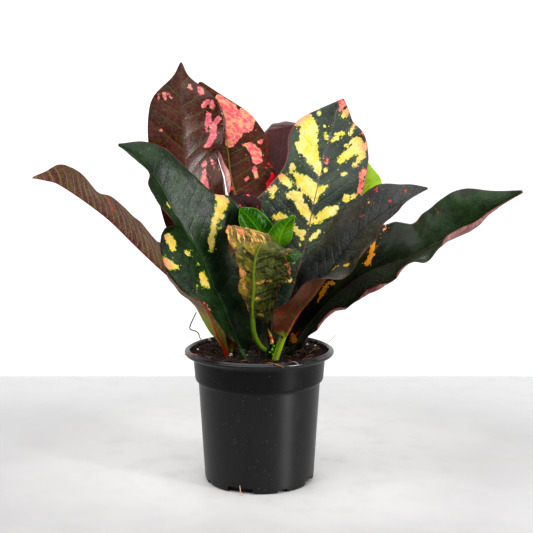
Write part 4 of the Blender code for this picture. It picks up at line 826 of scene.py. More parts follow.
def curl_margin(grid, side, widths, turn):
    """Lengthens one margin by a strip that turns up over the blade, or trims it."""
    middle = grid.shape[1] // 2
    columns = slice(middle, None) if side > 0 else slice(middle, None, -1)
    made = grid.copy()
    normal = grid_normals(grid)
    for i, width in enumerate(widths):
        if abs(width) < 0.05:
            continue
        half = grid[i, columns]
        out = unit(half[-1] - half[-2])
        up = unit(normal[i, columns][-1])
        reach = np.concatenate([[0], np.cumsum(np.linalg.norm(np.diff(half, axis=0), axis=1))])
        want = reach * (reach[-1] + width) / reach[-1]
        flat = np.stack([np.interp(want, reach, half[:, k]) for k in range(3)], axis=1)
        past = np.maximum(want - reach[-1], 0)
        bend = np.minimum(past / CURL_RADIUS, turn)
        rest = past - bend * CURL_RADIUS
        move_out = CURL_RADIUS * np.sin(bend) + rest * np.cos(turn) * (rest > 0)
        move_up = CURL_RADIUS * (1 - np.cos(bend)) + rest * np.sin(turn) * (rest > 0)
        made[i, columns] = flat + move_out[:, None] * out + move_up[:, None] * up
    return made


def shape_margins(grid, leaf, frayed, seed):
    """Turns up the margins that curl and bites small pieces out of frayed ones."""
    rows = len(grid)
    t = np.linspace(0, 1, rows)
    for key, side in SIDES:
        curl = leaf.get("curl_" + key)
        if curl:
            widths = np.interp(t, curl["at"], curl["width"])
            grid = curl_margin(grid, side, widths, math.radians(curl["turn"]))
        if frayed:
            at = t * rows * side
            bites = ripples(at, at * 0, 16, seed + 5) + 0.6 * ripples(at, at * 0, 6, seed + 6)
            bites = np.clip(bites, 0, 1) * np.clip(np.abs(at) / rows * 4 - 0.3, 0, 1)
            grid = curl_margin(grid, side, -frayed * bites, 0.0)
    return grid


def blade_measures(grid):
    """Millimetres along and out from the midrib and to the margin, and shares of width and length."""
    columns = grid.shape[1] // 2
    steps = np.linalg.norm(np.diff(grid, axis=1), axis=2)
    reach = np.concatenate([np.zeros((len(grid), 1)), np.cumsum(steps, axis=1)], axis=1)
    left, whole = reach[:, columns : columns + 1], reach[:, -1:]
    sideways = reach - left
    half = np.where(sideways < 0, left, whole - left)
    mid_steps = np.linalg.norm(np.diff(grid[:, columns], axis=0), axis=1)
    along = np.concatenate([[0], np.cumsum(mid_steps)])[:, None] * np.ones((1, grid.shape[1]))
    share = np.abs(sideways) / np.maximum(half, 0.1)
    return SimpleNamespace(
        along=along, sideways=sideways, margin=np.minimum(reach, whole - reach), half=half,
        share=share, out=np.abs(sideways), t=np.linspace(0, 1, len(grid))[:, None],
    )


def vein_phase(blade, relief, seed):
    """Counts the side veins: each is a whole number, and the blade between them is in between."""
    uneven = 0.22 * ripples(blade.along, blade.sideways * 0.4, 45, seed)
    forward = blade.along - VEIN_SLANT * blade.out - VEIN_BEND * blade.out**2
    return forward / relief["vein_gap"] + uneven + 0.5 * (blade.sideways < 0)


def relief_lift(blade, phase, relief, seed):
    """Height of the quilting between the veins, of soft ripples, a wavy hem and creases."""
    swell = np.abs(np.sin(math.pi * phase)) ** 0.7 - 0.6
    lift = relief["quilt"] * swell * np.sin(math.pi * np.clip(blade.share, 0, 0.97)) ** 0.6
    soft = ripples(blade.along, blade.sideways, 26, seed + 1)
    lift = lift + relief["ripple"] * soft * (0.3 + 0.7 * blade.share)
    hem = ripples(blade.along, blade.sideways * 0.1, 17, seed + 2)
    lift = lift + relief["hem"] * hem * blade.share**4
    crease = relief.get("crease", 0)
    if crease:
        for length, part, key in ((13, 1.0, 3), (6, 0.5, 4)):
            fold = 0.5 - np.abs(ripples(blade.along, blade.sideways, length, seed + key))
            lift = lift + crease * part * fold * np.clip(2.5 * blade.share, 0, 1)
    return lift * np.sin(math.pi * np.clip(blade.t, 0.02, 0.98)) ** 0.5


def two_faces(grid, blade, leaf, relief):
    """Points round the blade at each row: the upper face, then the underside with its rib."""
    small = leaf.get("small", False)
    thick = BLADE * (0.35 + 0.65 * np.clip(blade.margin / 1.5, 0, 1)) * (0.8 if small else 1.0)
    rib_height = leaf["stalk_r"] * 1.25 * relief.get("rib", 1.0) * (1 - blade.t) ** 1.1 + 0.12
    rib_end = np.clip((relief.get("rib_end", 9.0) - blade.t) / 0.1, 0.1, 1)
    rib_height = np.minimum(rib_height, 0.35 * blade.half) * rib_end
    rib_width = rib_height * 1.1 + 0.3
    ridge = rib_height * np.sqrt(np.clip(1 - (blade.out / rib_width) ** 2, 0, 1))
    dip = np.exp(-((blade.out / (0.5 + 0.5 * rib_width)) ** 2))
    groove = 0.35 * (1 - blade.t * 0.6) * dip * (0.5 if small else 1.0)
    normal = grid_normals(grid)
    upper = grid + normal * (thick / 2 - groove)[..., None]
    lower = grid - normal * (thick / 2 + ridge)[..., None]
    return np.concatenate([upper, lower[:, ::-1]], axis=1)


def round_ring(centre, tangent, side, radius, count):
    """A ring of the stalk whose points match those of a ring of the blade."""
    tangent = unit(tangent)
    side = unit(side - tangent * np.dot(side, tangent))
    up = np.cross(side, tangent)
    steps = (np.arange(count) + 0.5) * math.pi / count
    angles = np.concatenate([math.pi - steps, -steps])
    return centre + radius * (np.cos(angles)[:, None] * side + np.sin(angles)[:, None] * up)


def tube(path, headings, side, radii, sides):
    """Rings along a path, with a radius at each of its points."""
    return [round_ring(c, h, side, r, sides // 2) for c, h, r in zip(path, headings, radii)]


def ring_mesh(rings):
    """Points of closed rings and the four-sided faces between them, with a cap on each end."""
    size = len(rings[0])
    i, j = np.meshgrid(np.arange(len(rings) - 1), np.arange(size), indexing="ij")
    k = (j + 1) % size
    quads = np.stack([i * size + j, i * size + k, (i + 1) * size + k, (i + 1) * size + j], axis=-1)
    faces = [tuple(q) for q in quads.reshape(-1, 4).tolist()]
    faces.append(tuple(range(size - 1, -1, -1)))
    faces.append(tuple((len(rings) - 1) * size + n for n in range(size)))
    return np.concatenate(rings), faces


def patch_distance(name, colour, grid, flat, across):
    """Distance in mm from each point of a blade to its patches of one colour, below 0 inside."""
    best = np.full(grid.shape[:-1], FAR_OFF)
    for stroke in PATCHES.get(name, {}).get(colour, ()):
        placed = [(on_leaf(flat, across, at, v), radius) for at, v, radius in stroke]
        best = np.minimum(best, stroke_distance(grid, placed))
    return best


def on_leaf(grid, across, t, v):
    """The point at a share of the length and of the half width."""
    row = t * (len(grid) - 1)
    i = min(int(row), len(grid) - 2)
    line = grid[i] + (grid[i + 1] - grid[i]) * (row - i)
    return np.array([np.interp(v, across[0], line[:, k]) for k in range(3)])


def stroke_distance(points, stroke):
    """Distance in mm from each point to a stroke of changing radius, less than 0 inside."""
    best = np.full(points.shape[:-1], 1e3)
    ends = stroke + stroke[-1:] if len(stroke) == 1 else stroke
    for (a, ra), (b, rb) in zip(ends[:-1], ends[1:]):
        run = b - a
        share = np.clip(((points - a) @ run) / max(run @ run, 1e-9), 0, 1)
        gap = np.linalg.norm(points - a - share[..., None] * run, axis=-1)
        best = np.minimum(best, gap - ra - (rb - ra) * share)
    return best


def leaf_rings(grid, faces, leaf, joined):
    """Rings of points up the stalk and on along the blade, which starts round and turns flat."""
    rows, width = grid.shape[:2]
    middle = grid[:, width // 2]
    side = grid[1, -1] - grid[1, 0]
    path = np.vstack([leaf["stalk"], middle[0]])
    stalk = smooth(path, STALK_STEPS * (len(path) - 1) + 1)[:-1]
    heading = np.gradient(np.vstack([stalk, middle[:2]]), axis=0)
    radii = np.linspace(leaf["stalk_r"] * STALK_FOOT, leaf["stalk_r"], len(stalk))
    rings = tube(stalk, heading, side, radii, 2 * width)
    for i, ring in enumerate(faces):
        blend = min(1.0, i / (rows - 1) / joined)
        if blend < 1:
            tangent = middle[i + 1] - middle[max(i - 1, 0)]
            round_part = round_ring(middle[i], tangent, side, leaf["stalk_r"], width)
            ring = blend * ring + (1 - blend) * round_part
        rings.append(ring)
    return stalk, rings


def leaf_piece(name, leaf, seed):
    """A leaf with its stalk: both faces, the rib below and the relief of its veins."""
    *looks, relief = LOOKS[name]
    small = leaf.get("small")
    rows, columns = (SMALL_ROWS, SMALL_COLUMNS) if small else relief.get("grid", (ROWS, COLUMNS))
    flat, across = leaf_surface(leaf, rows, columns)
    grid = shape_margins(flat, leaf, relief.get("frayed", 0), seed)
    blade = blade_measures(grid)
    phase = vein_phase(blade, relief, seed)
    grid = grid + grid_normals(grid) * relief_lift(blade, phase, relief, seed)[..., None]
    faces = two_faces(grid, blade, leaf, relief)
    stalk, rings = leaf_rings(grid, faces, leaf, relief.get("joined", JOINED))
    width = grid.shape[1]

    def both(stalk_part, blade_part):
        stalk_part = np.broadcast_to(stalk_part, (len(stalk), width))
        whole = np.concatenate([stalk_part, np.broadcast_to(blade_part, (rows, width))])
        return np.concatenate([whole, whole[:, ::-1]], axis=1).ravel()

    below = -np.linalg.norm(stalk - grid[0, columns], axis=1)[:, None]
    beside = np.cos(np.linspace(math.pi, 0, width)) * leaf["stalk_r"]
    patches = [patch_distance(name, colour, grid, flat, across) for colour in PATCH_COLOURS]
    values = dict(
        leaf=[both(below, blade.along), both(beside, blade.sideways), both(FAR_OFF, blade.margin)],
        vein=[both(0.5, phase), both(0, blade.share), both(0, blade.t)],
        patch=[both(FAR_OFF, distance) for distance in patches],
    )
    under = np.tile(np.arange(2 * width) >= width - 1, len(rings) - 1)
    slots = np.concatenate([under, [True, True]])
    materials = [
        leaf_material(name + end, look, relief["vein_gap"], seed)
        for end, look in zip(("_top", "_under"), looks)
    ]
    attach(add_mesh("fine_" + name, ring_mesh(rings), materials, slots, values), name, name)


def leaf_material(name, look, vein_gap, seed):
    """One face of a leaf: ground, tints, patches and drawn lines, in that order."""
    s = material(name)
    blade = blade_signals(s, vein_gap, seed)
    colour = local_tints(s, blade, look, ground_colour(s, blade, look))
    colour, patched = coloured_patches(s, blade, look, colour)
    colour = drawn_lines(s, blade, look, colour, patched)
    net = s.cells(s.join(blade.along, blade.sideways + blade.cloud * 6.0, 0.0), 2.3, "DISTANCE_TO_EDGE")
    height = s.line(net, 0.02, 0.16) * -0.14 + blade.grain * 0.9 + s.noise(blade.flat, 1.1, 4, 0.65) * 0.5
    height = height - s.line(blade.vein_distance, 0.1, 1.2) * 0.35 + blade.streak * 0.6
    shine = (1.0 - s.line(blade.sideways, -2.0, 1.0) * look["dull_left"]) * look["shine"]
    shine = shine * (1.0 - s.line(blade.t, 0.45, 0.75) * look["dull_foot"])
    return s.finish(
        base_color=colour, roughness=(blade.grain - 0.5) * 0.35 + look["gloss"],
        normal=s.bump(height, look["grain"]), specular_ior_level=shine,
    )


def blade_signals(s, vein_gap, seed):
    """Measures of a point of the blade in mm, and the noises that its layers share."""
    along, sideways, margin = s.split(s.value("leaf"))
    phase, share, t = s.split(s.value("vein"))
    flat = s.join(along, sideways, seed * 31.0)
    veinwise = s.join(phase * vein_gap, sideways * 0.22, seed * 17.0)
    return SimpleNamespace(
        along=along, sideways=sideways, margin=margin, share=share, t=t, seed=seed,
        out=s.math("ABSOLUTE", sideways), vein_distance=s.math("PINGPONG", phase, 0.5) * vein_gap,
        flat=flat, veinwise=veinwise, cloud=s.noise(flat, 16, 4), grain=s.noise(flat, 2.2, 3, 0.6),
        streak=s.noise(veinwise, 3.2, 3, 0.6),
    )


def ground_colour(s, blade, look):
    """Dark and light clouds or streaks, with a pale grain and mottles."""
    streaks = look["streaks"]
    tone = s.band(blade.cloud, 0.36, 0.66)
    if streaks:
        tone = tone * (1 - streaks) + s.band(blade.streak, 0.4, 0.62) * streaks
    colour = s.mix(tone, look["dark"], look["light"])
    colour = s.mix(s.band(blade.grain, 0.5, 0.75) * 0.35, colour, look["vein"])
    for key, size, low, high in MOTTLES:
        if key in look:
            paint, part = look[key]
            where = s.join(blade.along, blade.sideways, blade.seed * 7.0 + size)
            colour = s.mix(s.band(s.noise(where, size, 3, 0.6), low, high) * part, colour, paint)
    if streaks > 0.5:
        colour = s.mix(s.band(s.noise(blade.veinwise, 2.0, 2), 0.58, 0.7) * 0.45, colour, look["vein"])
    return colour


def local_tints(s, blade, look, colour):
    """Tints of one half, the crown, the tip, the margin or the foot, and specks. On the crumpled leaf's
    underside the dark foot is painted shade.
    """
    if "half" in look:
        paint, part = look["half"]
        near = s.band(blade.sideways, -1.0, 4.0) * s.band(blade.streak, 0.36, 0.6)
        colour = s.mix(near * part, colour, paint)
    if "crown" in look:
        pale, deep, start = look["crown"]
        fanned = s.join(blade.along * 0.16, blade.sideways - blade.along * 0.85, blade.seed * 3.0)
        fibres = s.noise(fanned, 2.6, 4, 0.65)
        up = s.band(blade.t + (fibres - 0.5) * 0.5, start, start + 0.14) * s.band(blade.sideways, -6.0, 3.0)
        colour = s.mix(up * s.band(fibres, 0.4, 0.5), colour, deep)
        colour = s.mix(up * s.band(fibres, 0.49, 0.56), colour, pale)
    if "tip" in look:
        colour = s.mix(s.band(blade.t, 0.5, 0.8) * s.band(blade.cloud, 0.3, 0.6), colour, look["tip"])
    if "margin_band" in look:
        paint, reach = look["margin_band"]
        beside = s.line(blade.margin + blade.streak * 2.0, reach, reach + 2.0)
        colour = s.mix(beside * s.band(blade.sideways, 0.0, 1.0) * 0.8, colour, paint)
    if "foot" in look:
        paint, reach = look["foot"]
        uneven = blade.along + (blade.streak - 0.5) * reach
        colour = s.mix(s.line(uneven, reach * 0.4, reach) * 0.85, colour, paint)
    return s.mix(s.dots(blade.flat, 3.4, 0.42, look["specks"]), colour, look["speck"])


def coloured_patches(s, blade, look, colour):
    """Patches with ragged edges, and how much of the blade they cover."""
    jag = (s.noise(blade.flat, 5.5, 4, 0.6) - 0.5) * (5.0 * look["jag"])
    ragged = jag + (s.pick(s.cells(blade.flat, 1.5)) - 0.5) * (1.5 * look["jag"])
    dots_in = s.dots(blade.flat, 1.9, 0.5, 0.45)
    splashes = s.dots(blade.flat, 2.9, 0.62, 0.3)
    pale, deep = look["pink"][1], look["pink"][0]
    patched = None
    for key, distance in zip(PATCH_COLOURS, s.split(s.value("patch"))):
        frayed = distance + ragged
        if "fibrous" in look:
            frayed = frayed + (blade.streak - 0.47) * look["fibrous"]
        inside = s.math("MAXIMUM", s.line(frayed, 0.1, 0.65), splashes * s.line(frayed, 1.0, 7.0))
        cloud = s.noise(blade.flat, 9 if key == "yellow" else 3.5, 4, 0.65)
        paint = s.mix(s.band(cloud, 0.4, 0.6), *look[key])
        if key == "yellow":
            fringe = s.line(frayed + blade.grain * 1.6, 1.4, 2.1) * look["fringe"]
            colour = s.mix(fringe, colour, look["lime"])
            paint = s.mix(s.line(blade.margin, 1.5, 9.0) * 0.75, paint, pale)
            paint = s.mix(dots_in * look["dotted"], paint, deep)
        elif key == "pink":
            paint = s.mix(dots_in * 0.5, paint, deep)
        colour = s.mix(inside, colour, paint)
        patched = inside if patched is None else s.math("MAXIMUM", patched, inside)
    return colour, patched


def drawn_lines(s, blade, look, colour, patched):
    """Side veins, a net of small veins, the rib, the edge and the stalk."""
    blade_only = s.band(blade.along, 2.0, 10.0)
    weaker = 0.75 - patched * 0.5
    vein = s.line(blade.vein_distance, look["vein_size"] * 0.3, look["vein_size"])
    vein = vein * blade_only * s.line(blade.share, 0.5, 0.98)
    colour = s.mix(vein * weaker, colour, look["vein"])
    bent = s.join(blade.along, blade.sideways + blade.cloud * 9.0, blade.seed * 5.0)
    small = s.line(s.cells(bent, 5.5, "DISTANCE_TO_EDGE"), 0.02, 0.07) * blade_only
    colour = s.mix(small * look["net"] * weaker, colour, look["vein"])
    taper = blade.out + blade.t * (look["rib_size"] * 0.7)
    rib = s.line(taper, look["rib_size"] * 0.6, look["rib_size"] * 1.2)
    rib = rib * s.line(blade.t, look["rib_end"] - 0.06, look["rib_end"])
    rib_colour = look["rib"]
    if "rib_foot" in look:
        paint, reach = look["rib_foot"]
        rib_colour = s.mix(s.line(blade.along, reach * 0.5, reach), rib_colour, paint)
    colour = s.mix(rib * 0.85, colour, rib_colour)
    colour = s.mix(s.line(blade.margin + blade.grain * 0.8, 0.5, 1.3) * 0.8, colour, look["edge"])
    stalk = s.line(blade.along + blade.cloud * 8.0, 0.0, 12.0) * s.line(blade.out, 1.6, 3.4)
    return s.mix(stalk, colour, look["stalk"])


def turned_ring(radius, height, steps):
    """A ring of points about the middle of the pot, from the front round."""
    angles = np.arange(steps) * 2 * math.pi / steps
    return np.stack([radius * np.sin(angles), -radius * np.cos(angles), np.full(steps, height)], axis=1)


def faces_between(first, second, steps):
    """Four-sided faces between two of the rings."""
    pairs = [(j, (j + 1) % steps) for j in range(steps)]
    a, b = first * steps, second * steps
    return [(a + j, b + j, b + k, a + k) for j, k in pairs]


def rounded(profile, reach, times=2):
    """Cuts the corners of an open profile, each no further than the reach in mm."""
    points = [np.array(p, float) for p in profile]
    for _ in range(times):
        made = [points[0]]
        for a, b, c in zip(points[:-2], points[1:-1], points[2:]):
            for end in (a, c):
                length = np.linalg.norm(end - b)
                made.append(b + (end - b) * min(CORNER_SHARE, reach / max(length, 1e-6)))
        points = made + [points[-1]]
        reach *= 0.5
    return points


def pot_shell():
    """The fine turned pot, whose underside and floor are flat discs."""
    outside = [p for p in rounded(POT_OUTER, OUTER_REACH) if p[0] > 0.01]
    inside = [p for p in rounded(POT_INNER, INNER_REACH) if p[0] > 0.01]
    rings = [turned_ring(*p, POT_STEPS) for p in outside + inside]
    faces = []
    for i in range(len(rings)):
        if i != len(outside) - 1:
            faces += faces_between(i, (i + 1) % len(rings), POT_STEPS)
    start = len(outside) * POT_STEPS
    faces.append(tuple(range(start - POT_STEPS, start)))
    faces.append(tuple(reversed(range(start, start + POT_STEPS))))
    return np.concatenate(rings), faces


def notch_cutter(i):
    """A box that widens downwards, where a drain notch is cut out."""
    turn = math.radians(NOTCH_FIRST + NOTCH_EVERY * i - 90)
    width, height = NOTCH_SIZES[i % 2]
    centre = np.array([math.cos(turn), math.sin(turn), 0.0])
    side = np.array([-math.sin(turn), math.cos(turn), 0.0])
    corners = []
    for z, half in ((NOTCH_LOW, width / 2 + NOTCH_FLARE), (height, width / 2)):
        for out, sign in ((NOTCH_IN, -1), (NOTCH_OUT, -1), (NOTCH_OUT, 1), (NOTCH_IN, 1)):
            corners.append((centre * out + side * sign * half + (0, 0, z)) * MM)
    return add_box(f"notch_{i}", corners)


def pot_piece():
    """The pot with its drain notches cut out."""
    obj = add_mesh("fine_pot", pot_shell(), [pot_material()])
    cutters = [notch_cutter(i) for i in range(NOTCH_COUNT)]
    for cutter in cutters:
        boolean = obj.modifiers.new(cutter.name, "BOOLEAN")
        boolean.operation = "DIFFERENCE"
        boolean.object = cutter
    bpy.context.view_layer.update()
    graph = bpy.context.evaluated_depsgraph_get()
    cut = bpy.data.meshes.new_from_object(obj.evaluated_get(graph))
    obj.modifiers.clear()
    obj.data = cut
    for cutter in cutters:
        bpy.data.objects.remove(cutter)
    cut.shade_smooth()
    cut.set_sharp_from_angle(angle=math.radians(POT_SHARP))
    attach(obj, "pot", "pot")


def pot_material():
    """Satin black plastic, glossier on the lip, with faint rings, scuffs, dust and lime specks."""
    s = material("pot_plastic")
    where = s.place()
    x, y, z = s.split(where)
    rings = s.noise(s.join(0.0, 0.0, z), 0.0012, 2)
    cloud = s.noise(where, 0.03, 4)
    grain = s.noise(where, 0.0011, 3, 0.6)
    lip = s.band(z, *LIP_FOOT)
    collar = s.band(z, *COLLAR_FOOT) * s.line(z, *LIP_FOOT)
    inside = s.line(s.far(x, y), *INNER_RADIUS) * s.band(z, *INNER_FOOT)
    scuffs = s.noise(s.join(x * 3.0, y * 3.0, z), 0.006, 4, 0.7)
    dusty = s.band(s.noise(where, 0.013, 3), 0.5, 0.6)
    specks = s.dots(where, 0.0030, 0.00034, 0.4) * dusty
    flecks = s.dots(where, 0.0017, 0.00022, 0.4) * dusty
    colour = s.mix(s.band(cloud, 0.4, 0.65), (8, 8, 10), (15, 14, 17))
    colour = s.mix(s.band(scuffs, 0.55, 0.75) * 0.12, colour, (78, 76, 80))
    colour = s.mix(inside * 0.6, colour, (34, 27, 24))
    colour = s.mix(specks * 0.65, colour, (130, 130, 138))
    colour = s.mix(flecks * 0.7, colour, (150, 150, 160))
    height = rings * 0.5 + grain * 0.5 + specks * 0.8
    return s.finish(
        base_color=colour, roughness=0.36 + cloud * 0.12 + specks * 0.3 - lip * 0.22,
        normal=s.bump(height, 0.00012), specular_ior_level=0.44 - collar * 0.2 + lip * 0.1,
        anisotropic=0.75 * (1.0 - lip), anisotropic_rotation=0.25,
        tangent=s.node("Tangent", direction_type="RADIAL", axis="Z"),
    )


def soil_height(x, y):
    """Uneven top of the soil in mm, with a bank that climbs to the wall of the pot."""
    rough = np.sin(x * 0.31 + 1.3) * np.cos(y * 0.27 - 0.6)
    fine = np.sin(x * 0.83 - y * 0.55) * np.cos(y * 0.71 + x * 0.2)
    climb = np.clip((np.hypot(x, y) - BANK_FROM) / BANK_WIDE, 0, 1)
    bank = SOIL_BANK * climb * climb * (3 - 2 * climb)
    return SOIL_TOP + bank + SOIL_BUMP * (0.6 * rough + 0.4 * fine)


def soil_piece():
    """The soil with a crumbly top, down to just above the floor of the pot."""
    rings = []
    for radius in np.linspace(0.6, SOIL_RADIUS, SOIL_RINGS):
        ring = turned_ring(radius, 0, SOIL_STEPS)
        x, y = ring[:, 0], ring[:, 1]
        crumbs = ripples(x, y, 3.4, 5) * 0.7 + ripples(x, y, 7.5, 6) * 0.5
        z = soil_height(x, y) + crumbs * min(1.0, (SOIL_RADIUS + 0.3 - radius) / 3)
        ring[:, 2] = np.minimum(z, SOIL_RIM)
        rings.append(ring)
    rings += [turned_ring(*p, SOIL_STEPS) for p in SOIL_SIDE]
    faces = []
    for i in range(len(rings) - 1):
        faces += faces_between(i, i + 1, SOIL_STEPS)
    last = (len(rings) - 1) * SOIL_STEPS
    faces.append(tuple(range(SOIL_STEPS)))
    faces.append(tuple(reversed(range(last, last + SOIL_STEPS))))
    made = soil_material("soil_mix", (11, 6, 4), (38, 21, 15))
    attach(add_mesh("fine_soil", (np.concatenate(rings), faces), [made]), "soil", "soil")


def soil_material(name, dark, light):
    """Damp peat: dark, grainy and rough, with browner crumbs."""
    s = material(name)
    where = s.place()
    grain = s.noise(where, 0.0012, 4, 0.7)
    colour = s.mix(s.band(grain, 0.4, 0.65), dark, light)
    colour = s.mix(s.band(s.noise(where, 0.006, 3), 0.5, 0.7) * 0.5, colour, (74, 46, 34))
    height = grain + s.cells(where, 0.0016) * 0.8
    return s.finish(
        base_color=colour, roughness=0.85, normal=s.bump(height, 0.0007), specular_ior_level=0.3
    )


def simple_material(name, first, second, size, rough, depth=0.0002):
    """Two colours in clouds of a given size, with a fine grain."""
    s = material(name)
    where = s.place()
    colour = s.mix(s.band(s.noise(where, size, 3), 0.38, 0.62), first, second)
    grain = s.noise(where, size * 0.3, 3, 0.65)
    return s.finish(base_color=colour, roughness=rough - 0.1 + grain * 0.2, normal=s.bump(grain, depth))


def merge(parts):
    """One mesh of several: the points of each, and its faces counted on."""
    points, faces, start = [], [], 0
    for part_points, part_faces in parts:
        points.append(part_points)
        faces += [tuple(start + v for v in f) for f in part_faces]
        start += len(part_points)
    return np.concatenate(points), faces


def lumps(centres, sizes, seed, flat=(0.6, 1.0)):
    """Uneven lumps as one mesh: each has a size, a random squash and a random turn."""
    ball = bmesh.new()
    bmesh.ops.create_icosphere(ball, subdivisions=2, radius=1.0)
    points = np.array([v.co for v in ball.verts])
    faces = [tuple(v.index for v in f.verts) for f in ball.faces]
    ball.free()
    rng = np.random.default_rng(seed)
    parts = []
    for centre, size in zip(centres, sizes):
        squash = rng.uniform(*flat, size=3)
        spin = np.linalg.qr(rng.normal(size=(3, 3)))[0]
        if np.linalg.det(spin) < 0:
            spin[:, 0] *= -1
        dents = 1 + 0.16 * rng.normal(size=(len(points), 1)).clip(-1.5, 1.5)
        parts.append(((points * dents * squash) @ spin.T * size + centre, faces))
    return merge(parts)


def on_soil(rng, count, inner=2.0, outer=53.0):
    """Random places on top of the soil."""
    radius = np.sqrt(rng.uniform(inner**2, outer**2, count))
    angle = rng.uniform(0, 2 * math.pi, count)
    x, y = radius * np.cos(angle), radius * np.sin(angle)
    return np.stack([x, y, np.minimum(soil_height(x, y), SOIL_LIMIT)], axis=1)


def on_rim(rng, count):
    """Random places along the rim of the soil, higher at the back than in front."""
    turn = rng.uniform(0, 2 * math.pi, count)
    radius = rng.uniform(51.5, 55.2, count)
    rise = rng.uniform(-0.4, 1.4, count) * np.clip(0.6 + 0.6 * np.sin(turn), 0.2, 1)
    return np.stack([radius * np.cos(turn), radius * np.sin(turn), SOIL_RIM + rise], axis=1)


def crumb_pieces():
    """Loose crumbs on the soil, thicker along the rim, and pale grit."""
    rng = np.random.default_rng(seed=21)
    materials = (
        soil_material("crumb_dark", (9, 5, 4), (33, 18, 13)),
        soil_material("crumb_brown", (46, 20, 12), (104, 54, 34)),
        simple_material("grit", (150, 130, 110), (206, 196, 180), 0.001, 0.8),
    )
    for (name, (count, rim, low, high)), made in zip(CRUMBS.items(), materials):
        places = on_soil(rng, count)
        sizes = low + (high - low) * rng.random(count) ** 2
        if rim:
            places = np.concatenate([places, on_rim(rng, rim)])
            sizes = np.concatenate([sizes, rng.uniform(low, low + 0.6, rim)])
        attach(add_mesh(name, lumps(places, sizes, seed=7), [made], smooth_shaded=False), "soil")


def perlite_piece():
    """White grains in the soil, where the photo shows them and a few behind."""
    x, y, sizes = np.array(PERLITE).T
    z = np.minimum(soil_height(x, y), SOIL_LIMIT - 0.2) + sizes * PERLITE_LIFT
    shape = lumps(np.stack([x, y, z], axis=1), sizes, seed=12, flat=(0.7, 1.1))
    made = simple_material("perlite", (226, 220, 204), (196, 182, 158), 0.0012, 0.85, 0.0003)
    attach(add_mesh("perlite", shape, [made], smooth_shaded=False), "soil")


def thread_mesh(path, radii, sides=6):
    """A thin tube along a path, with a radius at each of its points."""
    path = np.asarray(path, float)
    return ring_mesh(tube(path, np.gradient(path, axis=0), np.array([0.3, 1.0, 0.2]), radii, sides))


def fibre_pieces():
    """Loose peat fibres and bark shreds lying on the soil."""
    rng = np.random.default_rng(seed=33)
    steps = np.linspace(-0.5, 0.5, 7)
    parts = []
    for centre in on_soil(rng, FIBRES, inner=8, outer=50):
        turn = rng.uniform(0, math.pi)
        length = rng.uniform(2.5, 8)
        bend = rng.uniform(-1.5, 1.5)
        x = centre[0] + length * steps * math.cos(turn) - bend * (steps**2) * math.sin(turn) * 4
        y = centre[1] + length * steps * math.sin(turn) + bend * (steps**2) * math.cos(turn) * 4
        inwards = np.where(np.hypot(x, y) > FIBRE_LIMIT, 0.93, 1.0)
        x, y = x * inwards, y * inwards
        z = np.minimum(soil_height(x, y), SOIL_LIMIT) + 0.9 + rng.uniform(-0.3, 0.8)
        z = z + steps * rng.uniform(-1, 1.6)
        radius = rng.uniform(0.1, 0.28)
        parts.append(thread_mesh(np.stack([x, y, z], axis=1), radius * (1 - 1.4 * steps**2)))
    made = simple_material("fibre", (96, 58, 36), (158, 112, 74), 0.004, 0.8)
    attach(add_mesh("soil_fibres", merge(parts), [made]), "soil")


def root_pieces():
    """Fine roots and fibres that stick out of the soil and hang over the lip."""
    for i, (radius, colours, points) in enumerate(ROOTS):
        path = smooth(points, 6 * len(points))
        radii = radius * (0.55 + 0.45 * np.sin(np.linspace(0.4, 2.8, len(path))))
        made = simple_material(f"root_{i}", *colours, 0.003, 0.75)
        attach(add_mesh(f"root_thread_{i}", thread_mesh(path, radii), [made]), "soil")


def shoot_material():
    """Lime below and cream above, with a red ring."""
    s = material("young_shoot")
    where = s.place()
    height = s.split(where)[2] + s.noise(where, 0.003, 3) * 0.004
    colour = s.mix(s.band(height, 0.1125, 0.1145), (70, 130, 4), (214, 160, 70))
    red = s.band(height, 0.1165, 0.1175) * s.line(height, 0.1195, 0.1205)
    colour = s.mix(red, colour, (196, 30, 30))
    return s.finish(base_color=colour, roughness=0.45, normal=s.bump(s.noise(where, 0.0012, 3), 0.0003))


def shoot_pieces():
    """A young shoot at the foot of the middle stem, with tiny lime buds."""
    lime = simple_material("bud_lime", (96, 168, 2), (140, 196, 10), 0.0012, 0.4)
    buds = np.array(BUDS)
    shape = lumps(buds[:, :3], buds[:, 3], seed=5)
    attach(add_mesh("tiny_buds", shape, [lime]), "stem_centre")
    path = smooth(SHOOT, 30)
    radii = np.interp(path[:, 2], SHOOT_HEIGHTS, SHOOT_RADII)
    attach(add_mesh("young_shoot", thread_mesh(path, radii, 12), [shoot_material()]), "stem_centre")


def bark_material(name):
    """Dark green bark with fine lines along the stem and pale dots, darkened further as painted shade among
    the leaves.
    """
    s = material(name)
    where = s.place()
    x, y, z = s.split(where)
    lines = s.noise(s.join(x * 4.0, y * 4.0, z), 0.006, 4, 0.6)
    # Painted shade: both bark colours are darker than the bark, for the shade that falls on the stems among
    # the leaves.
    colour = s.mix(s.band(lines, 0.4, 0.62), (26, 32, 12), (46, 46, 25))
    colour = s.mix(s.dots(where, 0.0022, 0.0003, 0.4), colour, (160, 150, 120))
    return s.finish(
        base_color=colour, roughness=0.6, normal=s.bump(lines, 0.0003), specular_ior_level=0.25
    )


def stem_pieces():
    """Woody stems with leaf scars as slight rings."""
    for name, axis in STEMS.items():
        spine = smooth(axis, STEM_STEPS)
        path, height = spine[:, :3], spine[:, 2]
        scars = SCAR_HEIGHT * np.exp(-(((height % SCAR_GAP) - SCAR_GAP / 2) ** 2) / 0.8)
        headings, side = np.gradient(path, axis=0), np.array([1.0, 0, 0])
        rings = tube(path, headings, side, spine[:, 3] + scars, STEM_SIDES)
        attach(add_mesh("fine_" + name, ring_mesh(rings), [bark_material(name + "_bark")]), name, name)


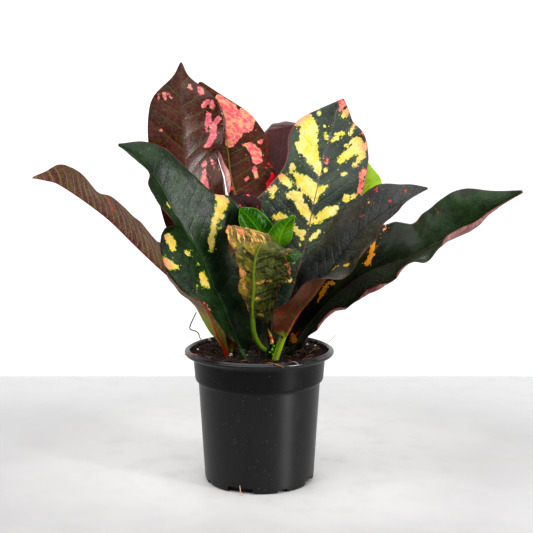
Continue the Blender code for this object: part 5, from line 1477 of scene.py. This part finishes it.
def table():
    """Pale mottled table top that ends behind the plant, with painted light towards the back and round the
    pot.
    """
    corners = [
        (-TABLE_SIDE, -TABLE_SIDE), (TABLE_SIDE, -TABLE_SIDE), (TABLE_SIDE, TABLE_BACK),
        (-TABLE_SIDE, TABLE_BACK),
    ]
    obj = add_box("table_top", [(x, y, z) for z in (-TABLE_THICK, 0.0) for x, y in corners])
    s = material("table_stone")
    where = s.place()
    x, y, _ = s.split(where)
    small = s.noise(where, 0.03, 4, 0.6)
    colour = s.mix(s.band(s.noise(where, 0.16, 5, 0.6), 0.35, 0.65), (170, 169, 169), (180, 179, 179))
    # Painted light: the top gets lighter towards the back, where the lamps leave it darker.
    colour = s.mix(s.band(y, 0.02, 0.35), colour, (190, 190, 190))
    # Painted light: a pale pool round the foot of the pot, painted over the shade that the pot and leaves
    # cast there.
    colour = s.mix(s.line(s.far(x, y - 0.06), 0.03, 0.24), colour, (212, 211, 210))
    colour = s.mix(s.band(small, 0.45, 0.7) * 0.3, colour, (176, 175, 176))
    obj.data.materials.append(s.finish(base_color=colour, roughness=0.75, normal=s.bump(small, 0.0003)))


def soft_box(name, place, aim, width, height, power):
    """An even area light that points at a place."""
    data = bpy.data.lights.new(name, "AREA")
    data.shape = "RECTANGLE"
    data.size, data.size_y = width, height
    data.energy = power
    light = add_object(name, data)
    light.location = place
    away = np.array(aim, float) - np.array(place, float)
    down = math.atan2(math.hypot(away[0], away[1]), -away[2])
    light.rotation_euler = (down, 0.0, math.atan2(away[1], away[0]) - math.pi / 2)


def studio():
    """White surroundings, less bright where the camera stands and overhead, and the soft boxes."""
    scene = bpy.context.scene
    scene.view_settings.view_transform = "Standard"
    scene.view_settings.look = "Medium High Contrast"
    scene.world = bpy.data.worlds.new("studio")
    s = Shader(scene.world)
    _, y, z = s.split(s.node("TexCoord", out="Generated"))
    strength = s.band(y, *ROOM_TURN, ROOM_FRONT, ROOM_BACK) * s.band(z, *ROOM_RISE, 1.0, ROOM_ABOVE)
    room = s.node("Background", {"Strength": strength})
    seen = s.tree.nodes["Background"]
    s.feed(seen.inputs["Color"], (1, 1, 1, 1))
    s.feed(seen.inputs["Strength"], 1.0)
    to_camera = s.node("LightPath", out="Is Camera Ray")
    chosen = s.node("MixShader", {0: to_camera, 1: room, 2: Signal(s, seen.outputs[0])})
    s.feed(s.tree.nodes["World Output"].inputs["Surface"], chosen)
    for box in SOFT_BOXES:
        soft_box(*box)


def camera():
    """The camera as the photo was taken."""
    data = bpy.data.cameras.new("camera")
    data.sensor_width = SENSOR
    data.lens = CAMERA_FOCUS / PHOTO_WIDTH * SENSOR
    data.clip_start, data.clip_end = CLIP_NEAR, CLIP_FAR
    obj = add_object("camera", data)
    obj.location = CAMERA_PLACE
    obj.rotation_euler = (math.radians(90 - CAMERA_DOWN), 0, 0)
    bpy.context.scene.camera = obj


camera()
studio()
table()
pot_piece()
soil_piece()
crumb_pieces()
perlite_piece()
fibre_pieces()
root_pieces()
shoot_pieces()
stem_pieces()
for number, (leaf_name, rails) in enumerate(LEAVES.items()):
    leaf_piece(leaf_name, rails, number + 1)

bpy.context.view_layer.update()
